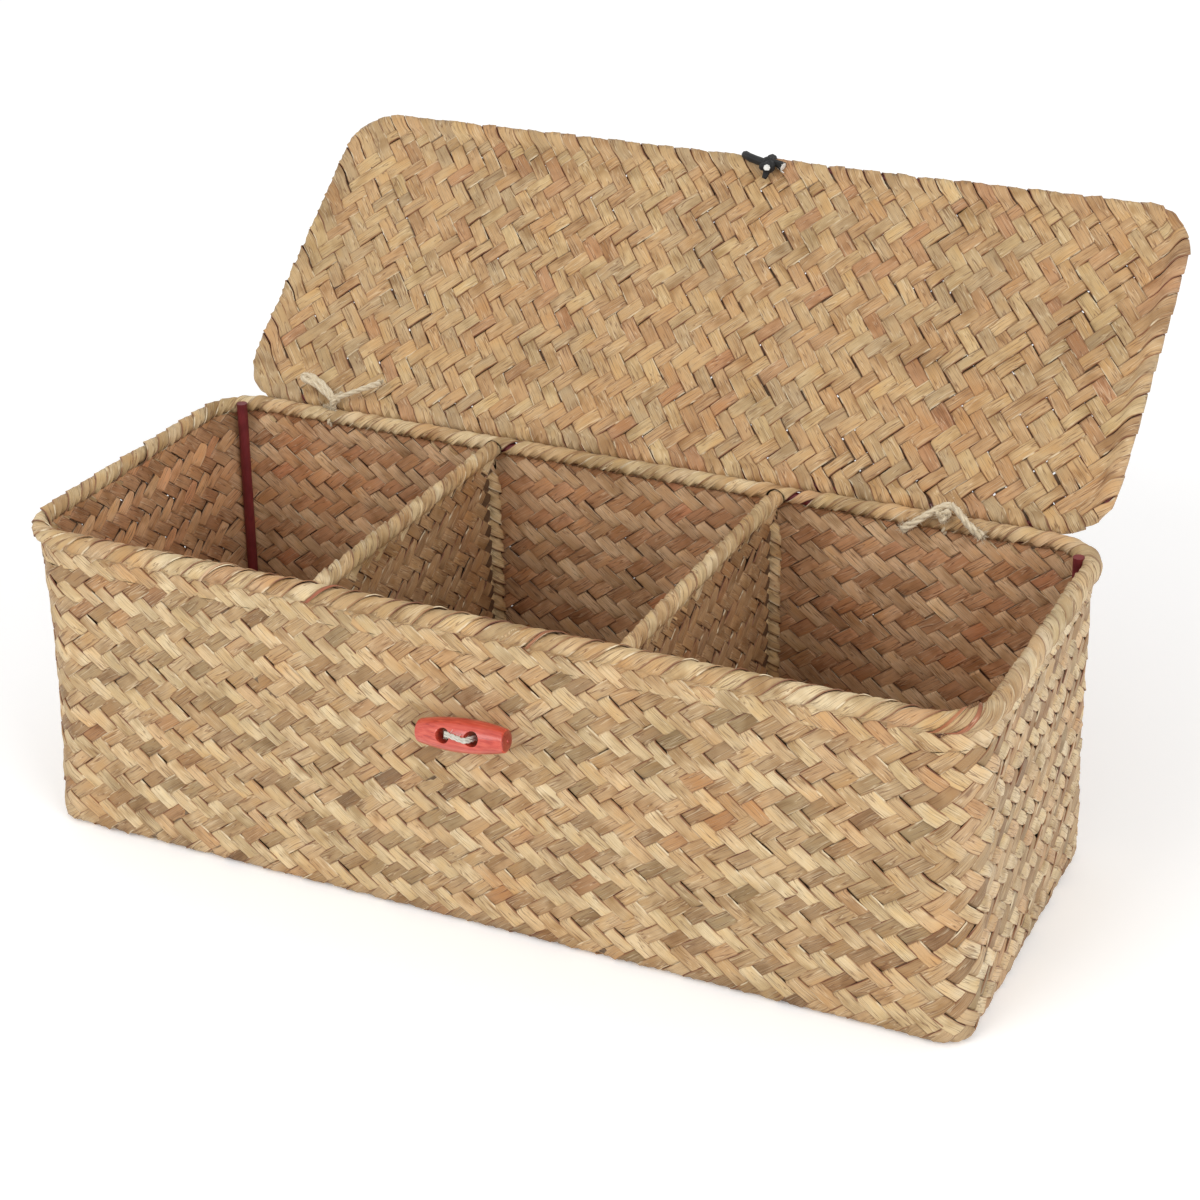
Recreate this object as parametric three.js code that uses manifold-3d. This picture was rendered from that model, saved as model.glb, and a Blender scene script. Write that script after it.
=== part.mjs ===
// Woven lidded storage box: a basket of plaited seagrass strips on a painted wire frame,
// with two woven dividers, a flat woven lid tied on with twine, an elastic closing loop
// and a wooden toggle on the front.
// Millimetres. +X runs along the length, +Y to the back, +Z up.
// The origin is the centre of the underside, which stands on the table.
// The lid is built shut and then turned open about its hinge axis, as it is seen at rest.

import * as THREE from "three";
import { mergeVertices } from "three/addons/utils/BufferGeometryUtils.js";
import Module from "manifold-3d";

// Basket
const basketLength = 368;
const basketWidth = 143;
const basketHeight = 126;
const wallThickness = 3.4;
const floorThickness = 3.4;
const topCornerRadius = 20;
const baseCornerRadius = 11;
const baseEdgeRadius = 2.5;
const clearance = 0.3;
const overrun = 5;

// Wrapped border round the rim, and the wire frame
const rimThickness = 8;
const rimHeight = 9.5;
const rimWireDiameter = 4;
const baseWireDiameter = 4.2;
const postDiameter = 4.2;
const postWallGap = 0.6;
const postTopDrop = 1.5;
const frontPostTopDrop = 7;

// Dividers
const dividerSpacing = 118;
const dividerThickness = 3;
const dividerBorderThickness = 7;
const dividerBorderHeight = 9;
const dividerWireDiameter = 3.4;
const dividerEdgeThickness = 5.2;

// Lid
const lidInset = 1.2;
const lidSideInset = 3.7;
const lidThickness = 3;
const lidBorderThickness = 6.4;
const lidBorderWidth = 8;
const lidCornerRadius = 18;
const lidWireDiameter = 3;

// Twine ties that hinge the lid
const twineDiameter = 2;
const knotSize = 5.4;
const leftTieInset = 50;
const rightTieInset = 60.5;
const tieTailSpread = 15;
const tieTailRise = 8.5;
const tieTailDroop = 1;

// Elastic loop at the lid's free edge
const elasticX = 3.8;
const elasticDiameter = 2.6;
const loopWidth = 11.4;
const loopReach = 34;
const elasticKnotSize = 5;
const elasticKnotInset = 7.6;
const elasticTailLength = 9;

// Toggle
const toggleLength = 34.6;
const toggleDiameter = 12;
const toggleEndDiameter = 8;
const toggleX = 3.5;
const toggleHeight = 83.6;
const toggleWallGap = 0.6;
const toggleHolePitch = 11;
const toggleHoleDiameter = 5.5;
const toggleHoleOffset = 0.5;

// Angles and counts
const degree = Math.PI / 180;
const lidOpenAngle = 141.5 * degree;
const lidLeanAngle = 22 * degree;
const postCornerAngle = 55 * degree;
const backRightPostAngle = 22 * degree;
const rightKnotAngle = 125 * degree;
const bandEndAngle = 70 * degree;
const toggleTilt = 5.5 * degree;
const toggleRoll = 20 * degree;
const cornerSegments = 3;
const edgeSegments = 3;
const roundSides = 12;
const twineSides = 8;
const weldDistance = 0.0001;
const bevelShare = 0.97;
const stitchBendShare = 0.7;

// Lines that several pieces follow
const rimAxis = {
  x: (basketLength - wallThickness) / 2,
  y: (basketWidth - wallThickness) / 2,
  z: basketHeight - rimThickness / 2,
};
const rimAxisCornerRadius = topCornerRadius - wallThickness / 2;
const rimUnderside = basketHeight - rimHeight;
const wallTop = rimAxis.z - rimWireDiameter / 2 - clearance;
const innerWallY = basketWidth / 2 - wallThickness;
const baseWireZ = floorThickness + clearance + baseWireDiameter / 2;
const aboveBaseWire = baseWireZ + baseWireDiameter / 2 + clearance;
const axisDistance = rimThickness / 2 + lidBorderThickness / 2 + clearance;
const lidAxis = {
  x: rimAxis.x - lidSideInset,
  y: rimAxis.y - lidInset,
  z: rimAxis.z + Math.sqrt(axisDistance ** 2 - lidInset ** 2),
};
const hingeAxis = hingePoint();
const leftTieX = leftTieInset - basketLength / 2;
const rightTieX = basketLength / 2 - rightTieInset;
const frontWallY = -basketWidth / 2;
const toggleY = frontWallY - toggleWallGap - toggleDiameter / 2;

// Finishes
const finishes = {
  seagrass: { color: 0xc4a57b, roughness: 0.75, metalness: 0 },
  seagrassBorder: { color: 0xcbb088, roughness: 0.72, metalness: 0 },
  paintedWire: { color: 0x5e2227, roughness: 0.45, metalness: 0.1 },
  twine: { color: 0xc9b898, roughness: 0.9, metalness: 0 },
  elastic: { color: 0x1d1c1d, roughness: 0.8, metalness: 0 },
  stainedWood: { color: 0xc7463a, roughness: 0.4, metalness: 0 },
};

const kernel = await Module();
kernel.setup();

const box = new THREE.Group();
const lid = new THREE.Group();
box.add(lid);
const lidOpening = new THREE.Matrix4()
  .makeTranslation(0, hingeAxis.y, hingeAxis.z)
  .multiply(new THREE.Matrix4().makeRotationX(-lidOpenAngle))
  .multiply(new THREE.Matrix4().makeTranslation(0, -hingeAxis.y, -hingeAxis.z));
lid.applyMatrix4(lidOpening);

buildBasket();
buildWireFrame();
for (const [side, sign] of [["left", -1], ["right", 1]]) buildDivider(side, sign);
buildLid();
buildTies();
buildElastic();
buildToggle();

// The hinge axis carries the lid's edge line from over the rim, shut, to behind it, open,
// so it stands on the perpendicular bisector of those two places.
function hingePoint() {
  const open = {
    y: rimAxis.y + axisDistance * Math.cos(lidLeanAngle),
    z: rimAxis.z + axisDistance * Math.sin(lidLeanAngle),
  };
  const chordY = open.y - lidAxis.y;
  const chordZ = open.z - lidAxis.z;
  const offsetShare = 1 / (2 * Math.tan(lidOpenAngle / 2));
  return {
    y: (open.y + lidAxis.y) / 2 + chordZ * offsetShare,
    z: (open.z + lidAxis.z) / 2 - chordY * offsetShare,
  };
}

// The corners are tight at the base and open out towards the rim.
function wallCornerRadius(z) {
  const share = Math.min(Math.max(z / (rimUnderside - clearance), 0), 1);
  return baseCornerRadius + (topCornerRadius - baseCornerRadius) * share;
}

function addPiece(parent, name, geometry, finish) {
  const mesh = new THREE.Mesh(geometry, new THREE.MeshStandardMaterial(finishes[finish]));
  mesh.name = name;
  parent.add(mesh);
  return mesh;
}

// Solids for cutting and joining
function solidOf(geometry) {
  const bare = geometry.clone();
  bare.deleteAttribute("normal");
  bare.deleteAttribute("uv");
  const merged = mergeVertices(bare, weldDistance);
  return new kernel.Manifold(new kernel.Mesh({
    numProp: 3,
    vertProperties: Float32Array.from(merged.attributes.position.array),
    triVerts: Uint32Array.from(merged.index.array),
  }));
}

function geometryOf(solid) {
  const mesh = solid.getMesh();
  const geometry = new THREE.BufferGeometry();
  geometry.setAttribute("position", new THREE.BufferAttribute(mesh.vertProperties, 3));
  geometry.setIndex(new THREE.BufferAttribute(mesh.triVerts, 1));
  geometry.computeVertexNormals();
  return geometry;
}

function cut(geometry, cutters) {
  let solid = solidOf(geometry);
  for (const cutter of cutters) solid = solid.subtract(solidOf(cutter));
  return geometryOf(solid);
}

function join(geometries) {
  let solid = solidOf(geometries[0]);
  for (const geometry of geometries.slice(1)) solid = solid.add(solidOf(geometry));
  return geometryOf(solid);
}

// A rectangle with round corners, centred on the origin
function outline({ length, width, radius }) {
  const x = length / 2 - radius;
  const y = width / 2 - radius;
  const quarter = Math.PI / 2;
  const shape = new THREE.Shape();
  shape.absarc(x, y, radius, 0, quarter);
  shape.absarc(-x, y, radius, quarter, 2 * quarter);
  shape.absarc(-x, -y, radius, 2 * quarter, 3 * quarter);
  shape.absarc(x, -y, radius, 3 * quarter, 4 * quarter);
  shape.closePath();
  return shape;
}

// A solid through a stack of such rectangles, lowest first
function loft(levels) {
  const rings = levels.map((level) => {
    const points = outline(level).getPoints(cornerSegments);
    if (points[0].distanceTo(points.at(-1)) < weldDistance) points.pop();
    return points;
  });
  const count = rings[0].length;
  const positions = rings.flatMap((ring, k) => ring.flatMap((p) => [p.x, p.y, levels[k].z]));
  const index = [];
  for (let k = 0; k + 1 < rings.length; k += 1) {
    for (let i = 0; i < count; i += 1) {
      const a = k * count + i;
      const b = k * count + ((i + 1) % count);
      index.push(a, b, b + count, a, b + count, a + count);
    }
  }
  const last = (rings.length - 1) * count;
  for (const [a, b, c] of THREE.ShapeUtils.triangulateShape(rings[0], [])) {
    index.push(a, c, b, last + a, last + b, last + c);
  }
  const geometry = new THREE.BufferGeometry();
  geometry.setAttribute("position", new THREE.Float32BufferAttribute(positions, 3));
  geometry.setIndex(index);
  return geometry;
}

// A closed ring that follows a round-cornered rectangle, with a section rounded all over
function ring({ length, width, radius, thickness, height, z }) {
  const bevel = (Math.min(thickness, height) / 2) * bevelShare;
  const band = thickness - 2 * bevel;
  const shape = outline({ length: length + band, width: width + band, radius: radius + band / 2 });
  shape.holes.push(outline({ length: length - band, width: width - band, radius: radius - band / 2 }));
  const depth = height - 2 * bevel;
  const geometry = new THREE.ExtrudeGeometry(shape, {
    depth,
    bevelThickness: bevel,
    bevelSize: bevel,
    bevelSegments: edgeSegments,
    curveSegments: cornerSegments,
  });
  return geometry.translate(0, 0, z - depth / 2);
}

// A straight-sided band that stands on a round-cornered rectangle
function band({ length, width, radius, thickness, bottom, top }) {
  const half = thickness / 2;
  const shape = outline({ length: length + thickness, width: width + thickness, radius: radius + half });
  shape.holes.push(outline({ length: length - thickness, width: width - thickness, radius: radius - half }));
  const geometry = new THREE.ExtrudeGeometry(shape, {
    depth: top - bottom,
    bevelEnabled: false,
    curveSegments: cornerSegments,
  });
  return geometry.translate(0, 0, bottom);
}

function plate({ length, width, radius, thickness, z }) {
  const geometry = new THREE.ExtrudeGeometry(outline({ length, width, radius }), {
    depth: thickness,
    bevelEnabled: false,
    curveSegments: cornerSegments,
  });
  return geometry.translate(0, 0, z - thickness / 2);
}

// A round rod between two points
function rod(from, to, diameter, sides = roundSides) {
  const along = new THREE.Vector3().subVectors(to, from);
  const geometry = new THREE.CylinderGeometry(diameter / 2, diameter / 2, along.length(), sides);
  const upright = new THREE.Vector3(0, 1, 0);
  const turn = new THREE.Quaternion().setFromUnitVectors(upright, along.clone().normalize());
  geometry.applyQuaternion(turn);
  const middle = new THREE.Vector3().addVectors(from, to).divideScalar(2);
  return geometry.translate(middle.x, middle.y, middle.z);
}

// A round cord along a smooth open curve
function cord(points, diameter, steps) {
  const section = new THREE.Shape();
  section.absarc(0, 0, diameter / 2, 0, 2 * Math.PI);
  return new THREE.ExtrudeGeometry(section, {
    extrudePath: new THREE.CatmullRomCurve3(points),
    steps,
    curveSegments: twineSides / 2,
  });
}

// A lump of wound cord
function lump(centre, width, depth, height) {
  const geometry = new THREE.SphereGeometry(1 / 2, roundSides, roundSides / 2);
  geometry.scale(width, depth, height);
  return geometry.translate(centre.x, centre.y, centre.z);
}

function buildBasket() {
  const shellLevel = (z, inset) => ({
    z,
    length: basketLength - 2 * inset,
    width: basketWidth - 2 * inset,
    radius: wallCornerRadius(z) - inset,
  });
  const outside = [];
  for (let k = 0; k <= edgeSegments; k += 1) {
    const turn = (k / edgeSegments) * 90 * degree;
    const inset = baseEdgeRadius * (1 - Math.sin(turn));
    outside.push(shellLevel(baseEdgeRadius * (1 - Math.cos(turn)), inset));
  }
  outside.push(shellLevel(rimUnderside - clearance, 0), shellLevel(wallTop, 0));
  const inside = [
    shellLevel(floorThickness, wallThickness),
    shellLevel(rimUnderside - clearance, wallThickness),
    shellLevel(wallTop + overrun, wallThickness),
  ];
  const holes = [leftTieX, rightTieX].map((x) => tieRing(x, twineDiameter + 2 * clearance));
  addPiece(box, "woven_body", cut(loft(outside), [loft(inside), ...holes]), "seagrass");

  const rimLine = {
    length: 2 * rimAxis.x,
    width: 2 * rimAxis.y,
    radius: rimAxisCornerRadius,
  };
  const border = ring({
    ...rimLine,
    thickness: rimThickness,
    height: rimHeight,
    z: (basketHeight + rimUnderside) / 2,
  });
  const wallSlot = band({
    ...rimLine,
    thickness: wallThickness + 2 * clearance,
    bottom: rimUnderside - overrun,
    top: rimAxis.z,
  });
  const bore = rimWireDiameter + 2 * clearance;
  const wireBore = ring({ ...rimLine, thickness: bore, height: bore, z: rimAxis.z });
  const postNotches = postPlaces().map(({ bottom, top, drop }) => {
    const above = drop === postTopDrop ? basketHeight + overrun : top.z + clearance;
    return rod(bottom, top.clone().setZ(above), postDiameter + 2 * clearance);
  });
  const wireHoles = [-1, 1].map((sign) => dividerRod(sign, dividerWireDiameter + 2 * clearance));
  const borderCut = cut(border, [wallSlot, wireBore, ...postNotches, ...wireHoles]);
  addPiece(box, "rim_border", borderCut, "seagrassBorder");
}

// Each corner post leans with the corner, from the base wire up beside the rim wire.
// The front posts end lower, and the back right one stands further round its corner.
function postPlaces() {
  const places = [];
  const standOff = wallThickness + postWallGap + postDiameter / 2;
  const pointAt = (z, signX, signY, angle) => {
    const radius = wallCornerRadius(z);
    const reach = radius - standOff;
    return new THREE.Vector3(
      signX * (basketLength / 2 - radius + reach * Math.cos(angle)),
      signY * (basketWidth / 2 - radius + reach * Math.sin(angle)),
      z,
    );
  };
  for (const [signX, signY, name, angle, drop] of [
    [-1, -1, "front_left", postCornerAngle, frontPostTopDrop],
    [1, -1, "front_right", postCornerAngle, frontPostTopDrop],
    [-1, 1, "back_left", postCornerAngle, postTopDrop],
    [1, 1, "back_right", backRightPostAngle, postTopDrop],
  ]) {
    places.push({
      name,
      drop,
      bottom: pointAt(aboveBaseWire, signX, signY, angle),
      top: pointAt(rimUnderside, signX, signY, angle).setZ(basketHeight - drop),
    });
  }
  return places;
}

function buildWireFrame() {
  const rimWire = ring({
    length: 2 * rimAxis.x,
    width: 2 * rimAxis.y,
    radius: rimAxisCornerRadius,
    thickness: rimWireDiameter,
    height: rimWireDiameter,
    z: rimAxis.z,
  });
  addPiece(box, "rim_wire", rimWire, "paintedWire");

  const inset = wallThickness + clearance + baseWireDiameter / 2;
  const baseWire = ring({
    length: basketLength - 2 * inset,
    width: basketWidth - 2 * inset,
    radius: wallCornerRadius(aboveBaseWire) - inset,
    thickness: baseWireDiameter,
    height: baseWireDiameter,
    z: baseWireZ,
  });
  addPiece(box, "base_wire", baseWire, "paintedWire");

  for (const { name, bottom, top } of postPlaces()) {
    addPiece(box, `corner_post_${name}`, rod(bottom, top, postDiameter), "paintedWire");
  }
}

function dividerRod(sign, diameter) {
  const x = (sign * dividerSpacing) / 2;
  const reach = rimAxis.y - rimWireDiameter / 2 - clearance;
  return rod(new THREE.Vector3(x, -reach, rimAxis.z), new THREE.Vector3(x, reach, rimAxis.z), diameter);
}

function buildDivider(side, sign) {
  const x = (sign * dividerSpacing) / 2;
  const panelTop = rimAxis.z - dividerWireDiameter / 2 - clearance;
  const panelBottom = floorThickness + clearance;
  const panelHalf = innerWallY - 2 * clearance - dividerEdgeThickness;
  const panelBox = (thickness, half, bottom, top) =>
    new THREE.BoxGeometry(thickness, 2 * half, top - bottom).translate(x, 0, (top + bottom) / 2);
  const panel = panelBox(dividerThickness, panelHalf, panelBottom, panelTop);
  addPiece(box, `${side}_divider_panel`, panel, "seagrass");

  const borderHalf = rimAxis.y - rimThickness / 2 - clearance;
  const radius = dividerBorderThickness / 2;
  const borderTop = rimAxis.z + radius;
  const section = outline({
    length: dividerBorderThickness,
    width: dividerBorderHeight,
    radius: radius * bevelShare,
  });
  const border = new THREE.ExtrudeGeometry(section, {
    depth: 2 * borderHalf,
    bevelEnabled: false,
    curveSegments: cornerSegments,
  });
  border.translate(0, 0, -borderHalf);
  border.rotateX(90 * degree);
  border.translate(x, 0, borderTop - dividerBorderHeight / 2);
  const slot = panelBox(
    dividerThickness + 2 * clearance,
    borderHalf + overrun,
    borderTop - dividerBorderHeight - overrun,
    rimAxis.z,
  );
  const bore = dividerRod(sign, dividerWireDiameter + 2 * clearance);
  addPiece(box, `${side}_divider_border`, cut(border, [slot, bore]), "seagrassBorder");
  addPiece(box, `${side}_divider_wire`, dividerRod(sign, dividerWireDiameter), "paintedWire");

  const edgeTop = rimUnderside - clearance;
  const edgeShape = outline({
    length: dividerEdgeThickness,
    width: dividerEdgeThickness,
    radius: (dividerEdgeThickness / 2) * bevelShare,
  });
  for (const [end, direction] of [["front", -1], ["back", 1]]) {
    const edge = new THREE.ExtrudeGeometry(edgeShape, {
      depth: edgeTop - aboveBaseWire,
      bevelEnabled: false,
      curveSegments: cornerSegments,
    });
    const y = direction * (innerWallY - clearance - dividerEdgeThickness / 2);
    edge.translate(x, y, aboveBaseWire);
    addPiece(box, `${side}_divider_${end}_edge`, edge, "seagrassBorder");
  }
}

function buildLid() {
  const wireLine = { length: 2 * lidAxis.x, width: 2 * lidAxis.y, radius: lidCornerRadius };
  const inwards = (lidBorderWidth - lidBorderThickness) / 2;
  const borderLine = {
    length: wireLine.length - 2 * inwards,
    width: wireLine.width - 2 * inwards,
    radius: wireLine.radius - inwards,
  };
  const border = ring({
    ...borderLine,
    thickness: lidBorderWidth,
    height: lidBorderThickness,
    z: lidAxis.z,
  });
  const insideWire = (gap) => ({
    length: wireLine.length - lidWireDiameter - 2 * gap,
    width: wireLine.width - lidWireDiameter - 2 * gap,
    radius: wireLine.radius - lidWireDiameter / 2 - gap,
  });
  const slot = plate({
    ...insideWire(0),
    thickness: lidThickness + 2 * clearance,
    z: lidAxis.z,
  });
  const bore = lidWireDiameter + 2 * clearance;
  const wireBore = ring({ ...wireLine, thickness: bore, height: bore, z: lidAxis.z });
  addPiece(lid, "lid_border", cut(border, [slot, wireBore]), "seagrassBorder");

  const wire = ring({ ...wireLine, thickness: lidWireDiameter, height: lidWireDiameter, z: lidAxis.z });
  addPiece(lid, "lid_wire", wire, "paintedWire");

  const shut = lidOpening.clone().invert();
  const tieHoles = [leftTieX, rightTieX].map((x) =>
    tieRing(x, twineDiameter + 2 * clearance).applyMatrix4(shut),
  );
  const panel = plate({ ...insideWire(clearance), thickness: lidThickness, z: lidAxis.z });
  addPiece(lid, "lid_panel", cut(panel, tieHoles), "seagrass");
}

// The tie's line: twine pulled round the rim border and the open lid's edge.
// It is the convex outline of the two sections, each grown by the twine's radius.
function tieLine() {
  const grow = clearance + twineDiameter / 2;
  const openLid = new THREE.Vector3(0, lidAxis.y, lidAxis.z).applyMatrix4(lidOpening);
  const inwards = lidBorderWidth - lidBorderThickness;
  const openInner = new THREE.Vector3(0, lidAxis.y - inwards, lidAxis.z).applyMatrix4(lidOpening);
  const rimLower = rimUnderside + rimThickness / 2;
  const circles = [
    { y: rimAxis.y, z: rimAxis.z, radius: rimThickness / 2 + grow },
    { y: rimAxis.y, z: rimLower, radius: rimThickness / 2 + grow },
    { y: openLid.y, z: openLid.z, radius: lidBorderThickness / 2 + grow },
    { y: openInner.y, z: openInner.z, radius: lidBorderThickness / 2 + grow },
  ];
  const points = circles.flatMap(({ y, z, radius }) =>
    Array.from({ length: 2 * roundSides }, (_, k) => {
      const turn = (k / roundSides) * Math.PI;
      return new THREE.Vector2(y + radius * Math.cos(turn), z + radius * Math.sin(turn));
    }),
  );
  return convexHull(points);
}

// Andrew's monotone chain, counter-clockwise
function convexHull(points) {
  const sorted = points.slice().sort((a, b) => a.x - b.x || a.y - b.y);
  const turnsLeft = (a, b, c) => (b.x - a.x) * (c.y - a.y) - (b.y - a.y) * (c.x - a.x) > 0;
  const chain = (list) => {
    const kept = [];
    for (const point of list) {
      while (kept.length > 1 && !turnsLeft(kept.at(-2), kept.at(-1), point)) kept.pop();
      kept.push(point);
    }
    kept.pop();
    return kept;
  };
  return [...chain(sorted), ...chain(sorted.slice().reverse())];
}

function tieRing(x, diameter) {
  const points = tieLine().map((p) => new THREE.Vector3(x, p.x, p.y));
  const curve = new THREE.CatmullRomCurve3(points, true, "centripetal");
  return new THREE.TubeGeometry(curve, 3 * roundSides, diameter / 2, twineSides, true);
}

// The left knot lies in the nip above the rim, with its tails on the lid's inner face.
// The right knot sits on top of the rim, with its tails drooping inside the back wall.
function buildTies() {
  const lumpDrop = twineDiameter / 4;
  const inward = new THREE.Vector3(0, -Math.sin(lidOpenAngle), -Math.cos(lidOpenAngle));
  const upLid = new THREE.Vector3(0, -Math.cos(lidOpenAngle), Math.sin(lidOpenAngle));
  const openLid = new THREE.Vector3(0, lidAxis.y, lidAxis.z).applyMatrix4(lidOpening);
  const knotRadius = knotSize / 2;

  const nip = openLid.clone().addScaledVector(inward, lidBorderThickness / 2 + clearance + knotRadius);
  nip.setX(leftTieX);
  const tail = (sign) => {
    const lift = [0, tieTailRise / 2, tieTailRise];
    return lift.map((rise, k) => {
      const point = nip.clone().addScaledVector(upLid, rise);
      point.x += (sign * tieTailSpread * k) / 2;
      return point;
    });
  };
  const leftTie = join([
    tieRing(leftTieX, twineDiameter),
    lump(nip, knotSize, knotSize, knotSize),
    cord(tail(-1), twineDiameter, edgeSegments * 2),
    cord(tail(1), twineDiameter, edgeSegments * 2),
  ]);
  addPiece(box, "left_hinge_tie", leftTie, "twine");

  const rimReach = rimThickness / 2 + clearance + knotRadius + lumpDrop;
  const onRim = new THREE.Vector3(
    rightTieX,
    rimAxis.y + rimReach * Math.cos(rightKnotAngle),
    rimAxis.z + rimReach * Math.sin(rightKnotAngle),
  );
  const drop = (sign) => {
    const insideY = rimAxis.y - rimThickness / 2 - clearance - twineDiameter;
    return [
      onRim.clone(),
      new THREE.Vector3(rightTieX + (sign * tieTailSpread) / 2, insideY, rimAxis.z + rimWireDiameter),
      new THREE.Vector3(rightTieX + sign * tieTailSpread, insideY, rimAxis.z - tieTailDroop),
    ];
  };
  const rightTie = join([
    tieRing(rightTieX, twineDiameter),
    lump(onRim, knotSize, knotSize, knotSize),
    cord(drop(-1), twineDiameter, edgeSegments * 2),
    cord(drop(1), twineDiameter, edgeSegments * 2),
  ]);
  addPiece(box, "right_hinge_tie", rightTie, "twine");
}

// The elastic is bound over the lid's free edge in two places and knotted on the inner face.
// The free loop hangs from there behind the open lid.
function buildElastic() {
  const edge = { y: -lidAxis.y, z: lidAxis.z };
  const bandRadius = lidBorderThickness / 2 + clearance + elasticDiameter / 2;
  const underFace = edge.z - bandRadius;
  const knotY = edge.y - lidBorderThickness / 2 + elasticKnotInset;
  const leftBandX = elasticX - loopWidth / 2;
  const rightBandX = elasticX + loopWidth / 2;
  const knot = new THREE.Vector3(rightBandX, knotY, underFace - elasticKnotSize / 4);
  const inwards = lidBorderWidth - lidBorderThickness;
  const around = (x, turn, shift) =>
    new THREE.Vector3(
      x,
      edge.y + shift + bandRadius * Math.cos(turn),
      edge.z + bandRadius * Math.sin(turn),
    );
  const overEdge = (x) => [
    around(x, bandEndAngle, inwards),
    ...[3, 4, 5, 6, 7, 8, 9].map((step) => around(x, step * 30 * degree, 0)),
  ];
  const longStrand = cord([...overEdge(leftBandX), knot], elasticDiameter, roundSides);
  const shortStrand = cord([...overEdge(rightBandX), knot], elasticDiameter, roundSides);
  const tailEnd = new THREE.Vector3(knot.x + elasticDiameter, knot.y + elasticTailLength, underFace);
  const tail = cord([knot, knot.clone().lerp(tailEnd, 1 / 2), tailEnd], elasticDiameter, edgeSegments);
  const knotLump = lump(knot, elasticKnotSize, elasticKnotSize, elasticKnotSize);
  addPiece(lid, "elastic_knot", join([knotLump, longStrand, shortStrand, tail]), "elastic");

  const hang = new THREE.Vector3(0, edge.y, edge.z).applyMatrix4(lidOpening);
  const bandOuter = bandRadius + elasticDiameter / 2;
  const bandEndReach = Math.hypot(
    inwards + bandOuter * Math.cos(bandEndAngle),
    bandOuter * Math.sin(bandEndAngle),
  );
  const start = bandEndReach + clearance;
  const half = loopWidth / 2;
  const loopPoint = (x, z) => new THREE.Vector3(elasticX + x, hang.y, z);
  const loop = cord(
    [
      loopPoint(-half, hang.z - start),
      loopPoint(-half, hang.z - (start + loopReach) / 2),
      loopPoint(-half, hang.z - loopReach + half),
      loopPoint(-half * Math.SQRT1_2, hang.z - loopReach + half * (1 - Math.SQRT1_2)),
      loopPoint(0, hang.z - loopReach),
      loopPoint(half * Math.SQRT1_2, hang.z - loopReach + half * (1 - Math.SQRT1_2)),
      loopPoint(half, hang.z - loopReach + half),
      loopPoint(half, hang.z - (start + loopReach) / 2),
      loopPoint(half, hang.z - start),
    ],
    elasticDiameter,
    2 * roundSides,
  );
  addPiece(box, "elastic_loop", loop, "elastic");
}

// A turned barrel with two holes, stitched to the front wall. It lies a little askew and is
// rolled upwards, so that the holes open to the front and up.
function buildToggle() {
  const half = toggleLength / 2;
  const profile = [new THREE.Vector2(0, -half)];
  for (let k = 0; k <= 2 * edgeSegments; k += 1) {
    const share = k / edgeSegments - 1;
    const radius = toggleDiameter / 2 - ((toggleDiameter - toggleEndDiameter) / 2) * share ** 2;
    profile.push(new THREE.Vector2(radius, half * share));
  }
  profile.push(new THREE.Vector2(0, half));
  const barrel = new THREE.LatheGeometry(profile, 2 * roundSides).rotateZ(-90 * degree);
  const holeX = [-1, 1].map((sign) => toggleHoleOffset + (sign * toggleHolePitch) / 2);
  const through = toggleDiameter / 2 + overrun;
  const holes = holeX.map((x) =>
    rod(new THREE.Vector3(x, -through, 0), new THREE.Vector3(x, through, 0), toggleHoleDiameter),
  );
  const place = (mesh) => {
    mesh.position.set(toggleX, toggleY, toggleHeight);
    mesh.rotation.y = -toggleTilt;
  };
  place(addPiece(box, "toggle", cut(barrel, holes).rotateX(-toggleRoll), "stainedWood"));

  const bridgeY = -toggleDiameter / 2 - clearance - twineDiameter / 2;
  const legEndY = toggleDiameter / 2 + toggleWallGap - clearance;
  const bend = twineDiameter * stitchBendShare;
  const stitch = cord(
    [
      new THREE.Vector3(holeX[0], legEndY, 0),
      new THREE.Vector3(holeX[0], 0, 0),
      new THREE.Vector3(holeX[0], bridgeY + bend, 0),
      new THREE.Vector3(holeX[0] + bend, bridgeY, 0),
      new THREE.Vector3(toggleHoleOffset, bridgeY, 0),
      new THREE.Vector3(holeX[1] - bend, bridgeY, 0),
      new THREE.Vector3(holeX[1], bridgeY + bend, 0),
      new THREE.Vector3(holeX[1], 0, 0),
      new THREE.Vector3(holeX[1], legEndY, 0),
    ],
    twineDiameter,
    2 * roundSides,
  );
  place(addPiece(box, "toggle_twine", stitch.rotateX(-toggleRoll), "twine"));

  const knotY = -innerWallY + clearance + knotSize / 2;
  const knotCentre = new THREE.Vector3(toggleX + toggleHoleOffset, knotY, toggleHeight);
  const tailEnd = (sign) =>
    new THREE.Vector3(knotCentre.x + sign * toggleHolePitch, knotY, toggleHeight - tieTailRise);
  const tails = [-1, 1].map((sign) => {
    const end = tailEnd(sign);
    return cord([knotCentre, knotCentre.clone().lerp(end, 1 / 2), end], twineDiameter, edgeSegments);
  });
  const knot = join([lump(knotCentre, knotSize, knotSize, knotSize), ...tails]);
  addPiece(box, "toggle_knot", knot, "twine");
}

export default box;
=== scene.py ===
"""A plaited seagrass storage box with a flat lid, open and leaning back on its twine ties.

Every strip of the weave is a closed ribbon of its own. A ribbon is laid out flat in sheet
millimetres: along, up, and lift out of the sheet. A place function then bends the sheet to its
shape: round the walls, over the rim wire, or folded round the lid's edge.
"""

import math

import bmesh
import bpy
import numpy as np
from mathutils import Matrix, Vector


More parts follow.
